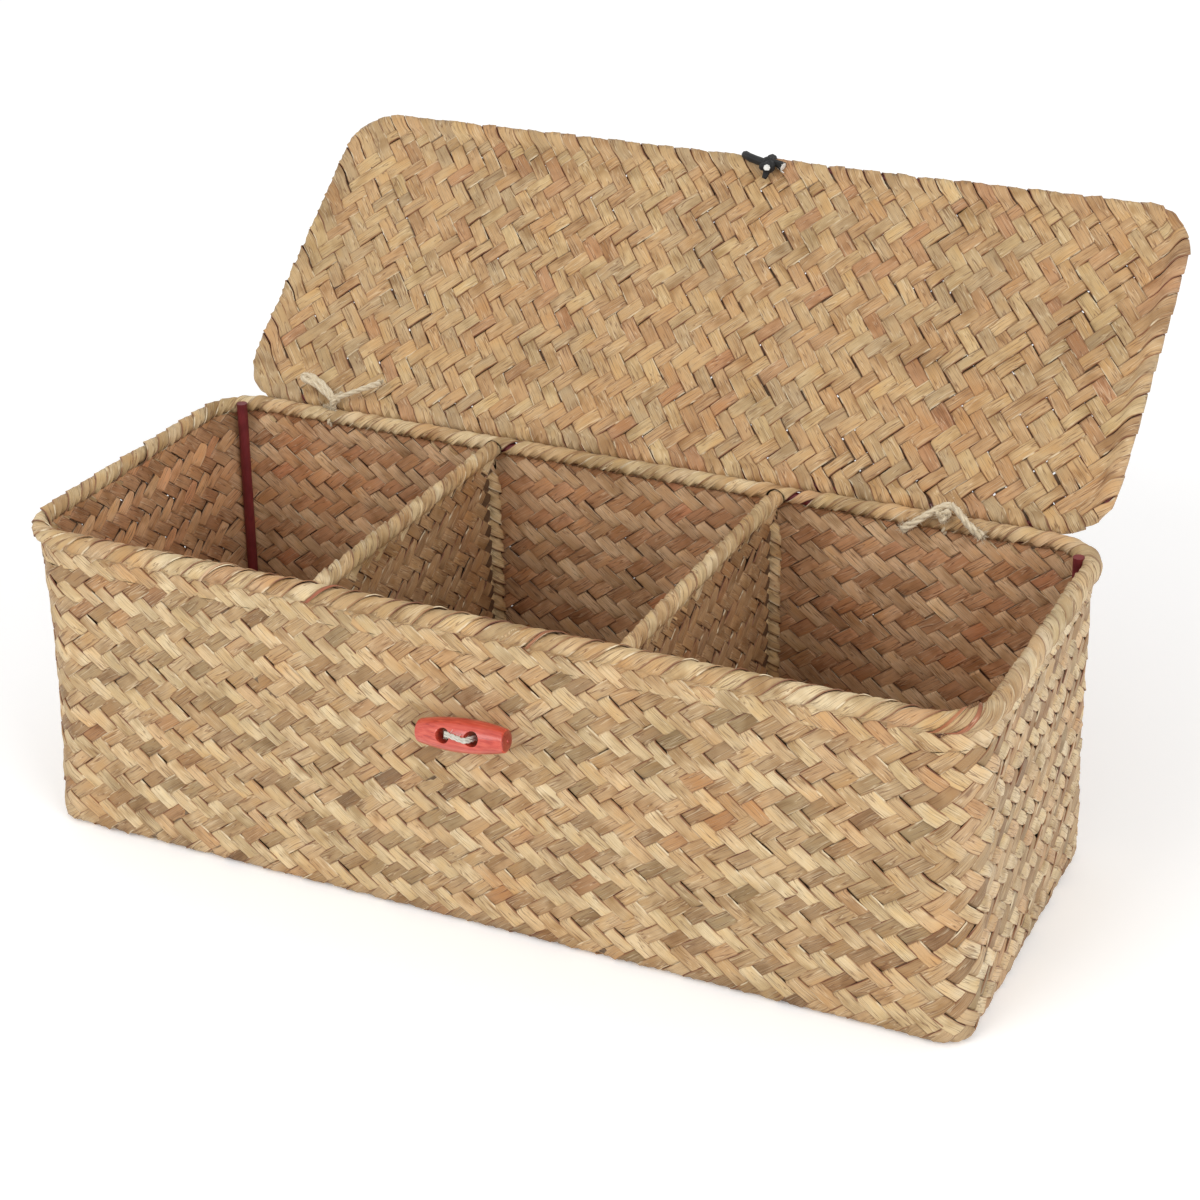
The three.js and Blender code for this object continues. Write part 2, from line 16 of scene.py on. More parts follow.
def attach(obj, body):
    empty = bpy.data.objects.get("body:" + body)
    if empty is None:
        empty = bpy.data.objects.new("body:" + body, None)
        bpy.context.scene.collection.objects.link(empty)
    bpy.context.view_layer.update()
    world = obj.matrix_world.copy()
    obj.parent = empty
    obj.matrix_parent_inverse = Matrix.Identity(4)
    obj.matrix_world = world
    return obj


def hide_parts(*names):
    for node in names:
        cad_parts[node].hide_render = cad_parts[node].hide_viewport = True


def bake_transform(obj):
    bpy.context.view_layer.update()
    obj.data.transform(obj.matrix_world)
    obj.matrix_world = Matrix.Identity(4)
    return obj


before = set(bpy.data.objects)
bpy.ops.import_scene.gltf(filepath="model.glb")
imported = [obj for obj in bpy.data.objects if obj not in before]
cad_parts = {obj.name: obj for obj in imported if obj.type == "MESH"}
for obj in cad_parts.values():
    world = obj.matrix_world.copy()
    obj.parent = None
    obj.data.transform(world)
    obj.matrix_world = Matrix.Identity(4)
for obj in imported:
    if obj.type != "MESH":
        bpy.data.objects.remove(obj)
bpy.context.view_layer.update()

MM = 0.001

# ---------------------------------------------------------------- sizes, in millimetres
WALL_X, WALL_Y = 182.3, 69.8        # half lengths of the wall sheet's middle
BASE_RADIUS, TOP_RADIUS = 9.3, 18.3  # its corners at the base and at the rim
CORNER_TOP = 116.2                  # the height where they have their top radius
BOW = 2.0                           # how far a corner edge bows inwards halfway up
FLOOR_Z = 1.55
FOLD_RADIUS = 2.0                   # where the walls turn into the floor
ROW_TOP = 117.5                     # top of the last plaited row
RIM_Z = 122.0

WALL_PITCH, WALL_RISE = 8.49, 6.55  # one strip to the next along a row; two crossings up
LID_PITCH, LID_RISE = 7.4, 8.6

LID_X, LID_Y, LID_Z = 178.6, 68.6, 129.403
LID_CORNER = 18.0
HINGE_Y, HINGE_Z = 71.875, 125.683
LID_OPEN = math.radians(141.5)

DIVIDER_X = 59.0
DIVIDER_HALF = 62.0
BORDER_HALF = 66.3                  # its wrapped top ends against the rim
COLUMN_Y, COLUMN_RADIUS = 65.0, 2.3  # its plaited upright edges

TOGGLE_PLACE = (3.5, -78.1, 83.6)
TOGGLE_HALF = 17.3
LOOP_Y = 184.128                    # the plane in which the elastic loop hangs

rng = np.random.default_rng(7)


# ---------------------------------------------------------------- small helpers
def placed(name, data):
    """A new object in the scene."""
    made = bpy.data.objects.new(name, data)
    bpy.context.collection.objects.link(made)
    return made


def as_mesh(bm, name):
    mesh = bpy.data.meshes.new(name)
    bm.to_mesh(mesh)
    bm.free()
    return mesh


def finish_piece(mesh, body, material, *nodes):
    """Makes a mesh a piece in place of CAD nodes, and hides them. It rides on a body, or on none
    where it reaches between two."""
    mesh.materials.append(material)
    mesh.polygons.foreach_set("use_smooth", [True] * len(mesh.polygons))
    piece = placed(mesh.name, mesh)
    if body:
        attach(piece, body)
    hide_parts(*nodes)
    return piece


def linear(hex_colour):
    """An sRGB hex colour as linear RGBA."""
    parts = [int(hex_colour[i:i + 2], 16) / 255 for i in (1, 3, 5)]
    return [c / 12.92 if c <= 0.04045 else ((c + 0.055) / 1.055) ** 2.4 for c in parts] + [1.0]


# ---------------------------------------------------------------- camera
def aim_camera():
    azimuth, elevation, roll = (math.radians(a) for a in (25.98, 26.59, -1.13))
    back = Vector((math.sin(azimuth) * math.cos(elevation),
                   -math.cos(azimuth) * math.cos(elevation),
                   math.sin(elevation)))
    right = Vector((math.cos(azimuth), math.sin(azimuth), 0))
    up = back.cross(right)
    turned_right = right * math.cos(roll) + up * math.sin(roll)
    turned_up = up * math.cos(roll) - right * math.sin(roll)
    lens = bpy.data.cameras.new("camera")
    lens.lens, lens.sensor_width = 75.72, 36
    camera = placed("camera", lens)
    place = Matrix((turned_right, turned_up, back)).transposed().to_4x4()
    place.translation = Vector((-0.0356, 0.1106, 0.0406)) + back * 1.045
    camera.matrix_world = place
    bpy.context.scene.camera = camera


aim_camera()


# ---------------------------------------------------------------- materials
def new_material(name):
    material = bpy.data.materials.new(name)
    material.use_nodes = True
    tree = material.node_tree
    tree.nodes.clear()
    shader = node(tree, "BsdfPrincipled")
    node(tree, "OutputMaterial", {"Surface": shader.outputs["BSDF"]})
    return material, tree, shader


def plug(tree, made, inputs):
    """Sets or links a node's inputs."""
    for key, value in inputs.items():
        if isinstance(value, bpy.types.NodeSocket):
            tree.links.new(value, made.inputs[key])
        else:
            made.inputs[key].default_value = value


def node(tree, kind, inputs=None, **settings):
    """Adds a node, sets its properties, and sets or links its inputs."""
    made = tree.nodes.new("ShaderNode" + kind)
    for key, value in settings.items():
        setattr(made, key, value)
    plug(tree, made, inputs or {})
    return made


def ramp(tree, value, *stops):
    """A colour ramp; a stop's colour is hex or a plain grey level."""
    made = node(tree, "ValToRGB", {0: value})
    elements = made.color_ramp.elements
    while len(elements) < len(stops):
        elements.new(0.5)
    for element, (position, colour) in zip(elements, stops):
        element.position = position
        element.color = linear(colour) if isinstance(colour, str) else [colour] * 3 + [1]
    return made.outputs[0]


def mixed(tree, blend, factor, a, b):
    """Colours a and b mixed by a blend type."""
    return node(tree, "Mix", {0: factor, 6: a, 7: b}, data_type="RGBA",
                blend_type=blend).outputs[2]


def sums(tree, operation, *values):
    return node(tree, "Math", dict(enumerate(values)), operation=operation).outputs[0]


def spread(tree, value, start=0.0, end=1.0, low=0.0, high=1.0):
    """A value that runs from start to end, mapped to low and high."""
    return node(tree, "MapRange", {0: value, 1: start, 2: end, 3: low, 4: high}).outputs[0]


def stretched(tree, place, *by):
    return node(tree, "VectorMath", {0: place, 1: by}, operation="MULTIPLY").outputs[0]


def noise(tree, place, detail, scale=1.0, roughness=0.5):
    return node(tree, "TexNoise", {"Vector": place, "Scale": scale, "Detail": detail,
                                   "Roughness": roughness}).outputs[0]


def bumped(tree, height, strength, distance):
    return node(tree, "Bump", {"Strength": strength, "Distance": distance,
                               "Height": height}).outputs[0]


def object_place(tree):
    return node(tree, "TexCoord").outputs["Object"]


def attribute(tree, name):
    return node(tree, "Attribute", attribute_name=name)


END_LIGHT_START, END_LIGHT_END = 0.172, 0.181     # metres from the middle, where the end walls begin


def seagrass(name, palette, inner_palette, fibre_depth=0.55, rim_line=0.82,
             left_inner_light_and_shade=(1, 1, 1)):
    """Dried seagrass leaf, folded flat and plaited: dull satin, with fine fibres lengthways, a
    few creases painted as a dark line of shade with a painted highlight beside it, reddish edges
    where the fold breaks, darkened partly with painted shade and lit by a pale painted highlight,
    and painted shade where strips dive under. The inner face of the sheet has its own colours."""
    material, tree, shader = new_material(name)
    grain = attribute(tree, "grain").outputs["Vector"]
    strip = attribute(tree, "strip")
    facts = node(tree, "SeparateColor", {0: strip.outputs["Color"]})
    tone, edge, hollow = (facts.outputs[i] for i in range(3))
    inner = strip.outputs["Alpha"]
    colour = mixed(tree, "MIX", inner, ramp(tree, tone, *palette),
                   ramp(tree, tone, *inner_palette))

    # painted light: outside, the right end is painted paler and greyer for the cool light that
    # falls on it; inside the left end, each family of strips gets its own tint of painted light
    # and shade
    place = object_place(tree)
    x = node(tree, "SeparateXYZ", {0: place}).outputs[0]
    for sign, whole, tint in ((1, 1.0, (1.03, 1.08, 1.18, 1)), (-1, 0.0, (*left_inner_light_and_shade, 1))):
        near = spread(tree, x, sign * END_LIGHT_START, sign * END_LIGHT_END)
        face = sums(tree, "ABSOLUTE", sums(tree, "SUBTRACT", whole, inner))
        colour = mixed(tree, "MULTIPLY", sums(tree, "MULTIPLY", near, face), colour, tint)

    # blotches a few centimetres long, which run across several strips
    blotches = noise(tree, place, 3.0, scale=38.0)
    colour = mixed(tree, "MULTIPLY", 0.8, colour,
                   ramp(tree, blotches, (0.3, "#D9D2C4"), (0.5, "#FFFFFF"), (0.72, "#F3E0CC")))

    # along one strip the leaf fades from greenish straw to brown in a centimetre or two
    drift = noise(tree, stretched(tree, grain, 0.09, 0.12, 1.0), 2.0)
    colour = mixed(tree, "MULTIPLY", 0.75, colour,
                   ramp(tree, drift, (0.3, "#C9B79C"), (0.5, "#FFFFFF"), (0.7, "#FFF3DC")))

    # fibres: about 0.35 mm wide and 12 mm long
    fibres = noise(tree, stretched(tree, grain, 0.08, 2.9, 1.0), 2.5, roughness=0.6)
    colour = mixed(tree, "MULTIPLY", fibre_depth, colour,
                   ramp(tree, fibres, (0.25, "#A08769"), (0.48, "#FFFFFF"), (0.75, "#FFFBEF")))

    # creases wander along the strip where noise crosses its middle value: a dark line of painted
    # shade with a pale painted highlight beside it
    folds = noise(tree, stretched(tree, grain, 0.045, 0.85, 1.7), 1.0)
    crease = ramp(tree, folds, (0.458, 0.0), (0.483, 1.0), (0.505, 0.0))
    crease_painted_highlight = ramp(tree, folds, (0.508, 0.0), (0.524, 1.0), (0.545, 0.0))
    for line, share, tint in ((crease, 0.72, "#6A4630"), (crease_painted_highlight, 0.3, "#EEDFC0")):
        colour = mixed(tree, "MIX", sums(tree, "MULTIPLY", line, share), colour, linear(tint))

    # the strip's folded edges go from dark red over brown to a pale line: the red-brown is partly
    # the edges' own colour and partly painted shade in the gaps between strips, and the pale line
    # is a painted highlight
    split = noise(tree, stretched(tree, grain, 0.13, 0.25, 1.9), 1.5)
    edge_colour_shade_and_highlight = ramp(tree, split, (0.36, "#6B3A2B"), (0.46, "#86583A"), (0.56, "#9A7450"),
                (0.64, "#E2D2B2"))
    colour = mixed(tree, "MIX", spread(tree, edge, rim_line, 0.97, 0.0, 0.92), colour, edge_colour_shade_and_highlight)

    # painted shade where a strip dives under its neighbours
    deep = sums(tree, "MULTIPLY", ramp(tree, hollow, (0.4, 0.0), (0.72, 1.0)), 0.8)
    colour = mixed(tree, "MIX", deep, colour, linear("#3E281C"))

    ridge = sums(tree, "MULTIPLY_ADD", crease, -0.9, fibres)
    plug(tree, shader, {"Base Color": colour, "Specular IOR Level": 0.35,
                        "Roughness": spread(tree, fibres, low=0.72, high=0.5),
                        "Normal": bumped(tree, ridge, 0.55, 0.00022)})
    return material


def shades(colours):
    """Ramp stops for hex colours, evenly spaced."""
    colours = colours.split()
    return [(k / (len(colours) - 1), colour) for k, colour in enumerate(colours)]


# outside, the strips that fall to the right are paler; inside, they are greyer
FALLING = shades("#B09169 #C2A37A #C4AD86 #D0B68B #D6BE94 #C3A57C #DEC9A2 #D2B389 #B98E63")
FALLING_INNER = shades("#B98A65 #C6956F #C08F69 #CC9C74 #BE8C67 #D2A67E #CA8E68 #BC8D69")
RISING = shades("#82684C #A5835C #9C8562 #B99A72 #BFA27B #9E815F #CBB089 #B8936B #946B49")
RISING_INNER = shades("#C49E7A #D2AC86 #DAB68F #CDA681 #E2C098 #CAA47F #DEBA93 #D0A983")
LID = shades("#AC8760 #BC966B #C29E73 #C9A87A #B49A76 #CFB283 #BA9068 #B58762")
DIVIDER = shades("#9C7955 #A7835D #AD8A65 #B28E66 #A78462 #B9966E #A2724D")
BORDER = shades("#A88C66 #C3A67B #D6BE94 #B99A70 #CBAA7E #DECAA4 #BF946A")
SPLIT = shades("#8E4B38 #B27A55 #9C5A42 #D8BE98")

# inside the left end, the rising strips are painted darker as shade and the falling strips paler
# as light
rising_seagrass = seagrass("plaited_seagrass_tan", RISING, RISING_INNER,
                           left_inner_light_and_shade=(0.78, 0.66, 0.6))
falling_seagrass = seagrass("plaited_seagrass_straw", FALLING, FALLING_INNER,
                            left_inner_light_and_shade=(1.3, 1.42, 1.45))
lid_seagrass = seagrass("plaited_seagrass_lid", LID, LID)
divider_seagrass = seagrass("plaited_seagrass_dividers", DIVIDER, DIVIDER, 0.55, 0.88)
border_seagrass = seagrass("wrapped_seagrass_border", BORDER, BORDER, 0.5, 0.76)
split_seagrass = seagrass("split_seagrass_rind", SPLIT, SPLIT, 0.5, 0.9)


def painted_steel():
    """Maroon enamel brushed on steel wire: smooth, satin, a little uneven where it ran."""
    material, tree, shader = new_material("maroon_enamel_on_steel_wire")
    patches = noise(tree, object_place(tree), 3.0, scale=120.0)
    colour = ramp(tree, patches, (0.3, "#5A1B1F"), (0.55, "#722529"), (0.8, "#82322F"))
    plug(tree, shader, {"Base Color": colour,
                        "Roughness": spread(tree, patches, low=0.38, high=0.6),
                        "Normal": bumped(tree, patches, 0.3, 0.0002)})
    return material


wire_paint = painted_steel()


# ---------------------------------------------------------------- ribbons
TUBE_SPREAD = 8.0
# half width and half thickness shares of a ribbon's section, every 45 degrees
SECTION = np.array([(1, 0), (0.93, 0.8), (0, 1), (-0.93, 0.8),
                    (-1, 0), (-0.93, -0.8), (0, -1), (0.93, -0.8)])
HUMP = 0.22         # how much higher a float stands in its middle than at its crossings
DIVE = 0.3          # the share of the way to the next crossing in which a strip changes sides


def raw_tubes(name, rings):
    """One closed tube for each entry of rings, side by side, and where its points lie on it."""
    ready = {}
    joined = bmesh.new()
    for k, count in enumerate(rings):
        if count not in ready:
            one = bmesh.new()
            made = bmesh.ops.create_cone(one, cap_ends=True, segments=8, radius1=1, radius2=1,
                                         depth=1)
            sides = {edge for vert in made["verts"] for edge in vert.link_edges
                     if abs(edge.verts[0].co.z - edge.verts[1].co.z) > 0.5}
            bmesh.ops.subdivide_edges(one, edges=list(sides), cuts=count - 2)
            ready[count] = [as_mesh(one, "tube"), 0]
        tube, last = ready[count]
        tube.transform(Matrix.Translation(((k - last) * TUBE_SPREAD, 0, 0)))
        ready[count][1] = k
        joined.from_mesh(tube)
    mesh = as_mesh(joined, name)
    for tube, _ in ready.values():
        bpy.data.meshes.remove(tube)
    flat = np.empty(3 * len(mesh.vertices), dtype=np.float32)
    mesh.vertices.foreach_get("co", flat)
    x, y, z = flat.reshape(-1, 3).T.astype(float)
    strip = np.rint(x / TUBE_SPREAD).astype(int)
    corner = np.rint(np.arctan2(y, x - strip * TUBE_SPREAD) / (math.pi / 4)).astype(int) % 8
    return mesh, strip, corner, z + 0.5


def between(table, strip, t, hump=0.0):
    """Values given at whole steps along each strip, blended smoothly at t."""
    first = np.clip(np.floor(t).astype(int), -1, table.shape[1] - 3)
    share = t - first
    a, b = table[strip, first + 1], table[strip, first + 2]
    late = np.clip((share - (1 - DIVE) / 2) / DIVE, 0, 1)
    blend = (1 - np.cos(np.pi * late)) / 2
    level = a * (1 - blend) + b * blend
    return (1 - hump) * level + hump * (a + b) / 2 * np.sin(np.pi * share) ** 2


def padded(rows, length):
    """Rows of different length as one table with a spare step at each end."""
    table = np.zeros((len(rows), length + 2))
    for k, row in enumerate(rows):
        table[k, 1:len(row) + 1] = row
        table[k, 0] = row[0]
        table[k, len(row) + 1:] = row[-1]
    return table


def float_values(states, draw):
    """One drawn value for each run of equal states, repeated over the run."""
    values = []
    for k, state in enumerate(states):
        if k == 0 or (state > 0) != (states[k - 1] > 0):
            value = draw()
        values.append(value)
    return values


def keep(mesh, name, kind, field, columns):
    """Keeps columns of values as an attribute of the mesh's points."""
    mesh.attributes.new(name, kind, "POINT").data.foreach_set(
        field, np.stack(columns, axis=1).astype(np.float32).ravel())


def ribbons(name, strips, step, place, width, thick, lift, per_crossing=4, bias=0.0, tilt=0.0,
            wander=0.28, roll=5.0, push=0.12, cross=None, slim=None):
    """A mesh of ribbons. A strip is (x, y, states): where it first crosses another, and for
    each crossing from there on, a step apart, 1 if it lies over and -1 if under. Cross is the
    other family's step: a ribbon's cross lines follow it, so a float ends at its edge. Slim
    gives the share of the width that is left at a place."""
    rings = [per_crossing * len(states) + 1 for _, _, states in strips]
    mesh, k, corner, along = raw_tubes(name, rings)
    counts = np.array([len(states) for _, _, states in strips])
    longest = counts.max()
    t = along * counts[k] - 0.5
    # more of the rings stand where the strip changes sides
    whole = np.floor(t + 1e-6)
    t = whole + np.interp(t - whole, (0, 0.25, 0.5, 0.75, 1), (0, 0.36, 0.5, 0.64, 1))

    states = padded([s for _, _, s in strips], longest)
    count = len(strips)

    def per_float(draw):
        return padded([float_values(s, draw) for _, _, s in strips], longest)

    strip_tone = rng.uniform(0, 1, count)
    tones = per_float(lambda: rng.uniform(0, 1))
    share = rng.choice([0.25, 0.6, 0.9], count, p=[0.5, 0.35, 0.15])[:, None]
    tones = tones * (1 - share) + strip_tone[:, None] * share
    rolls = per_float(lambda: rng.normal(0, roll))
    pushes = per_float(lambda: rng.normal(0, push))
    widths = per_float(lambda: rng.normal(1, 0.045))

    starts = np.array([(x, y) for x, y, _ in strips])
    stride = math.hypot(*step)
    ahead = np.array(step) / stride
    aside = np.array((-ahead[1], ahead[0]))
    lean = aside if cross is None else np.array(cross) / np.dot(cross, aside)
    strip_width = width * rng.normal(1, 0.035, count)
    sway = rng.uniform(0, 2 * math.pi, (2, count))
    offset = wander * (0.5 * rng.normal(0, 1, count)[k]
                       + 0.7 * np.sin(t * stride / 11.0 + sway[0][k])
                       + 0.5 * np.sin(t * stride / 4.7 + sway[1][k]))

    across = SECTION[corner, 0]
    proud = SECTION[corner, 1]
    risen = between(states, k, t, HUMP)
    lateral = strip_width[k] * between(widths, k, t) / 2 * across
    x, y = (starts[k, axis] + step[axis] * t for axis in (0, 1))
    if slim:
        lateral *= slim(x, y)
    turned = np.tan(np.radians(between(rolls, k, t) + tilt))
    x = x + lean[0] * lateral + aside[0] * offset
    y = y + lean[1] * lateral + aside[1] * offset
    n = lift * risen + bias + between(pushes, k, t) + thick / 2 * proud + lateral * turned

    mesh.vertices.foreach_set("co", (place(x, y, n) * MM).astype(np.float32).ravel())

    seeds = rng.uniform(0, 200, count)
    keep(mesh, "grain", "FLOAT_VECTOR", "vector",
         [t * stride + lateral * lean.dot(ahead) + seeds[k], lateral + 9.0 * (proud < 0),
          seeds[k] * 3.1])
    outer = proud >= -0.01
    facing = np.where(outer, risen, -risen)
    # a float keeps its own tone up to the edge that it dives under
    before = np.clip(np.floor(t + 1e-6).astype(int), -1, longest - 1)
    share = t - before
    climbs = states[k, before + 2] > states[k, before + 1]
    takes_next = np.where(np.abs(share - 0.5) < 0.01, climbs == outer, share > 0.5)
    nearest = before + takes_next
    # the strip colour holds: tone; how near the edge a point lies, for the edge colour with its
    # painted shade and highlight; how far it has dived, for painted shade; and which face it is on
    keep(mesh, "strip", "FLOAT_COLOR", "color",
         [tones[k, nearest + 1], np.abs(across), (1 - facing) / 2, 1.0 - outer])
    mesh.update()
    mesh.set_sharp_from_angle(angle=math.radians(38))
    return mesh


# ---------------------------------------------------------------- bent sheets
def traced(parts, start, heading, spacing=0.05):
    """A line of (length, turn) arcs in a plane: its points and headings, every spacing."""
    points, turns = [np.array(start, float)], [heading]
    for length, turn in parts:
        steps = max(2, round(length / spacing))
        for _ in range(steps):
            heading += turn / steps
            points.append(points[-1] + length / steps * np.array((math.cos(heading),
                                                                  math.sin(heading))))
            turns.append(heading)
    points = np.array(points)
    lengths = np.concatenate([[0], np.cumsum(np.hypot(*np.diff(points, axis=0).T))])
    return lengths, points, np.array(turns)


def follow(line, s):
    """Out, up and heading on a traced line, s along it."""
    lengths, points, turns = line
    return [np.interp(s, lengths, values) for values in (points[:, 0], points[:, 1], turns)]


def corner_radius(z):
    return BASE_RADIUS + (TOP_RADIUS - BASE_RADIUS) * np.clip(z / CORNER_TOP, 0, 1)


MEAN_RADIUS = (BASE_RADIUS + TOP_RADIUS) / 2
CUT = 1 - math.pi / 4
HALF_X = WALL_X - CUT * MEAN_RADIUS
HALF_Y = WALL_Y - CUT * MEAN_RADIUS
PERIMETER = 4 * (HALF_X + HALF_Y)
STRIP_COUNT = round(PERIMETER / WALL_PITCH)
AROUND = PERIMETER / STRIP_COUNT


def on_outline(x, out, z):
    """A place at x along the walls, out from their middle sheet, at height z."""
    x = np.mod(x + HALF_X, PERIMETER) - HALF_X
    face = np.searchsorted([HALF_X, HALF_X + 2 * HALF_Y, 3 * HALF_X + 2 * HALF_Y], x)
    middle = face * (HALF_X + HALF_Y)
    long_face = face % 2 == 0
    mean_half = np.where(long_face, HALF_X, HALF_Y)
    half = np.where(long_face, WALL_X, WALL_Y)
    depth = np.where(long_face, WALL_Y, WALL_X)
    radius = corner_radius(z)
    s = (x - middle) / mean_half * (half - CUT * radius)
    straight = half - radius
    turn = np.clip((np.abs(s) - straight) / radius, 0, None)
    side = np.sign(s)
    along = np.where(turn > 0, side * (straight + radius * np.sin(turn)), s)
    deep = depth - radius + radius * np.cos(turn)
    tangent = np.array([(1, 0), (0, 1), (-1, 0), (0, -1)])[face]
    normal = np.array([(0, -1), (1, 0), (0, 1), (-1, 0)])[face]
    facing = normal * np.cos(turn)[:, None] + tangent * (side * np.sin(turn))[:, None]
    lap = x * 2 * math.pi / PERIMETER
    bow = np.sin(np.pi * np.clip(z / RIM_Z, 0, 1)) * (
        BOW * np.clip(np.sin(2 * np.clip(turn, 0, math.pi / 4)), 0, 1)
        + 0.5 * np.sin(lap * 6 + 1) + 0.35 * np.sin(lap * 11))
    return tangent * along[:, None] + normal * deep[:, None] + facing * (out - bow)[:, None]


WALL_LINE = traced([(6.0, 0), (FOLD_RADIUS * math.pi / 2, math.pi / 2), (120.0, 0)],
                   (-FOLD_RADIUS - 6.0, FLOOR_Z), 0.0)
WALL_LINE_START = FLOOR_Z + FOLD_RADIUS - 6.0 - FOLD_RADIUS * math.pi / 2

WRAP_RADIUS = 2.85
S_TURN = math.radians(72)
S_RADIUS = WRAP_RADIUS / (2 * (1 - math.cos(S_TURN)))
S_ARC = S_RADIUS * S_TURN
BACK_TURN = math.radians(96)        # inside, the strips turn back to the wall more sharply
BACK_ARC = WRAP_RADIUS / (2 * (1 - math.cos(BACK_TURN))) * BACK_TURN
RUN_UP = 40.0                       # straight run below a border's first bend
WRAP_START = RIM_Z - 0.5 - 2 * S_RADIUS * math.sin(S_TURN) - RUN_UP
WRAP_LINE = traced([(RUN_UP, 0), (S_ARC, -S_TURN), (S_ARC, S_TURN), (0.5, 0),
                    (WRAP_RADIUS * math.pi, math.pi), (0.2, 0), (BACK_ARC, BACK_TURN),
                    (BACK_ARC, -BACK_TURN), (8.0, 0)], (0.0, WRAP_START), math.pi / 2)


def bent(line, s, x, n):
    """The wall sheet bent along a line, n out of its face."""
    out, up, heading = follow(line, s)
    return np.column_stack([on_outline(x, out + n * np.sin(heading), up),
                            up - n * np.cos(heading)])


def on_wall(x, y, n):
    """Walls: x round them, y up from the table, n outwards."""
    lap = x * 2 * math.pi / PERIMETER
    free = np.clip((ROW_TOP - y) / 20, 0, 1)
    y = y + (0.5 * np.sin(lap * 5) + 0.3 * np.sin(lap * 13 + 2)) * free
    points = bent(WALL_LINE, y - WALL_LINE_START, x, n)
    points[:, 2] = np.maximum(points[:, 2], 0.05 + 0.1 * (n < 0))
    return points


def on_rim(x, y, n):
    """The strips that leave the wall and wrap over the rim wire; y is measured along them."""
    return bent(WRAP_LINE, y - WRAP_START, x, n)


def away_from(x, middle):
    """How far a place along the walls lies from another, the short way round."""
    return np.abs(np.mod(x - middle + PERIMETER / 2, PERIMETER) - PERIMETER / 2)


def pinched(y):
    """1 where a strip that is over outside dives in at its lower end, which is also where its
    next float begins on the inner face."""
    phase = np.mod((ROW_TOP - y) / (WALL_RISE / 2) - 0.5, 4)
    return np.exp(-((phase - 1.5) / 0.5) ** 2)


def worn_ends(pinch, shrink):
    """The strips of both ends have shrunk. The falling ones are pinched to a point where they
    dive in below a float, so that one sees through there."""
    def slim(x, y):
        near = (np.clip(1.4 - away_from(x, 3 * (HALF_X + HALF_Y)) / HALF_Y, 0, 1)
                + np.clip(1.3 - away_from(x, HALF_X + HALF_Y) / HALF_Y, 0, 1))
        return 1 - near * (shrink + pinch * pinched(y)) * np.clip((y - 15) / 30, 0, 1)
    return slim


def worn_rim(x, y):
    """Beside each divider the rim's wraps have slid apart, and the painted wire shows."""
    middle = 2 * (HALF_X + HALF_Y)
    gap = sum(np.exp(-(away_from(x, middle - side) / 5.5) ** 2) for side in (-50.0, 68.0))
    return 1 - 0.5 * gap


def build_walls():
    half_rise = WALL_RISE / 2
    lowest = WALL_LINE_START + 1.0
    rows = int((ROW_TOP - lowest) / half_rise)
    spare = 1
    # rows are counted down from the rim: the first two have the falling strips over
    levels = np.arange(rows + spare, -1, -1) - spare
    heights = ROW_TOP - (levels + 0.5) * half_rise
    falling_over = [(level % 4) < 2 for level in levels]
    shift = (heights[0] - heights[-1]) / half_rise / 2
    rising_states = [-1 if over else 1 for over in falling_over]
    falling_states = [1 if over and level >= 0 else -1
                      for over, level in zip(falling_over, levels)]
    rising, falling = ([(AROUND * (j + way * shift), heights[0], states)
                        for j in range(STRIP_COUNT)]
                       for way, states in ((1, rising_states), (-1, falling_states)))
    angle = math.atan2(half_rise, AROUND / 2)
    width = AROUND * math.sin(angle) * 1.1
    up_right, up_left = (AROUND / 2, half_rise), (-AROUND / 2, half_rise)
    for family, strips, step, cross, bias, material, slim in (
            ("rising", rising, up_right, up_left, -0.1, rising_seagrass, worn_ends(0.0, 0.06)),
            ("falling", falling, up_left, up_right, 0.12, falling_seagrass,
             worn_ends(0.5, -0.04))):
        halves = [strips[:len(strips) // 2], strips[len(strips) // 2:]]
        for part, some in zip("ab", halves):
            mesh = ribbons(f"wall_strips_{family}_{part}", some, step, on_wall, width, 0.95,
                           0.64, bias=bias, cross=cross, slim=slim)
            finish_piece(mesh, "basket", material, "woven_body")

    # the rising strips come out of the wall again and wrap over the rim wire
    # on the inner side the wraps sink back early, so the painted shade of the dive darkens them
    # there
    wraps = [(AROUND * (j - 0.5), ROW_TOP - half_rise / 2,
              [-0.9, 1, 1, 1, 1, 0.7, 0.1, -0.5, -0.8, -0.9]) for j in range(STRIP_COUNT)]
    mesh = ribbons("rim_wraps", wraps, up_right, on_rim, 6.3, 0.7, 0.45,
                   per_crossing=5, tilt=-7.0, roll=2.5, wander=0.4, cross=up_left, slim=worn_rim)
    finish_piece(mesh, "basket", border_seagrass, "rim_border")

    # a few split rinds stand off the wraps: by the front right corner and the left divider
    splits = [(x - AROUND, ROW_TOP, [-0.6, 1, 1, 1, 1, 0.3]) for x in
              (HALF_X - 7.5, HALF_X - 0.5, HALF_X - 1.6, -56.5, -101.0, 31.0)]
    mesh = ribbons("rim_splits", splits, up_right, on_rim, 0.9, 0.45, 0.3, per_crossing=5,
                   bias=0.72, roll=12.0, wander=0.5, cross=up_left)
    finish_piece(mesh, "basket", split_seagrass, "rim_border")


build_walls()


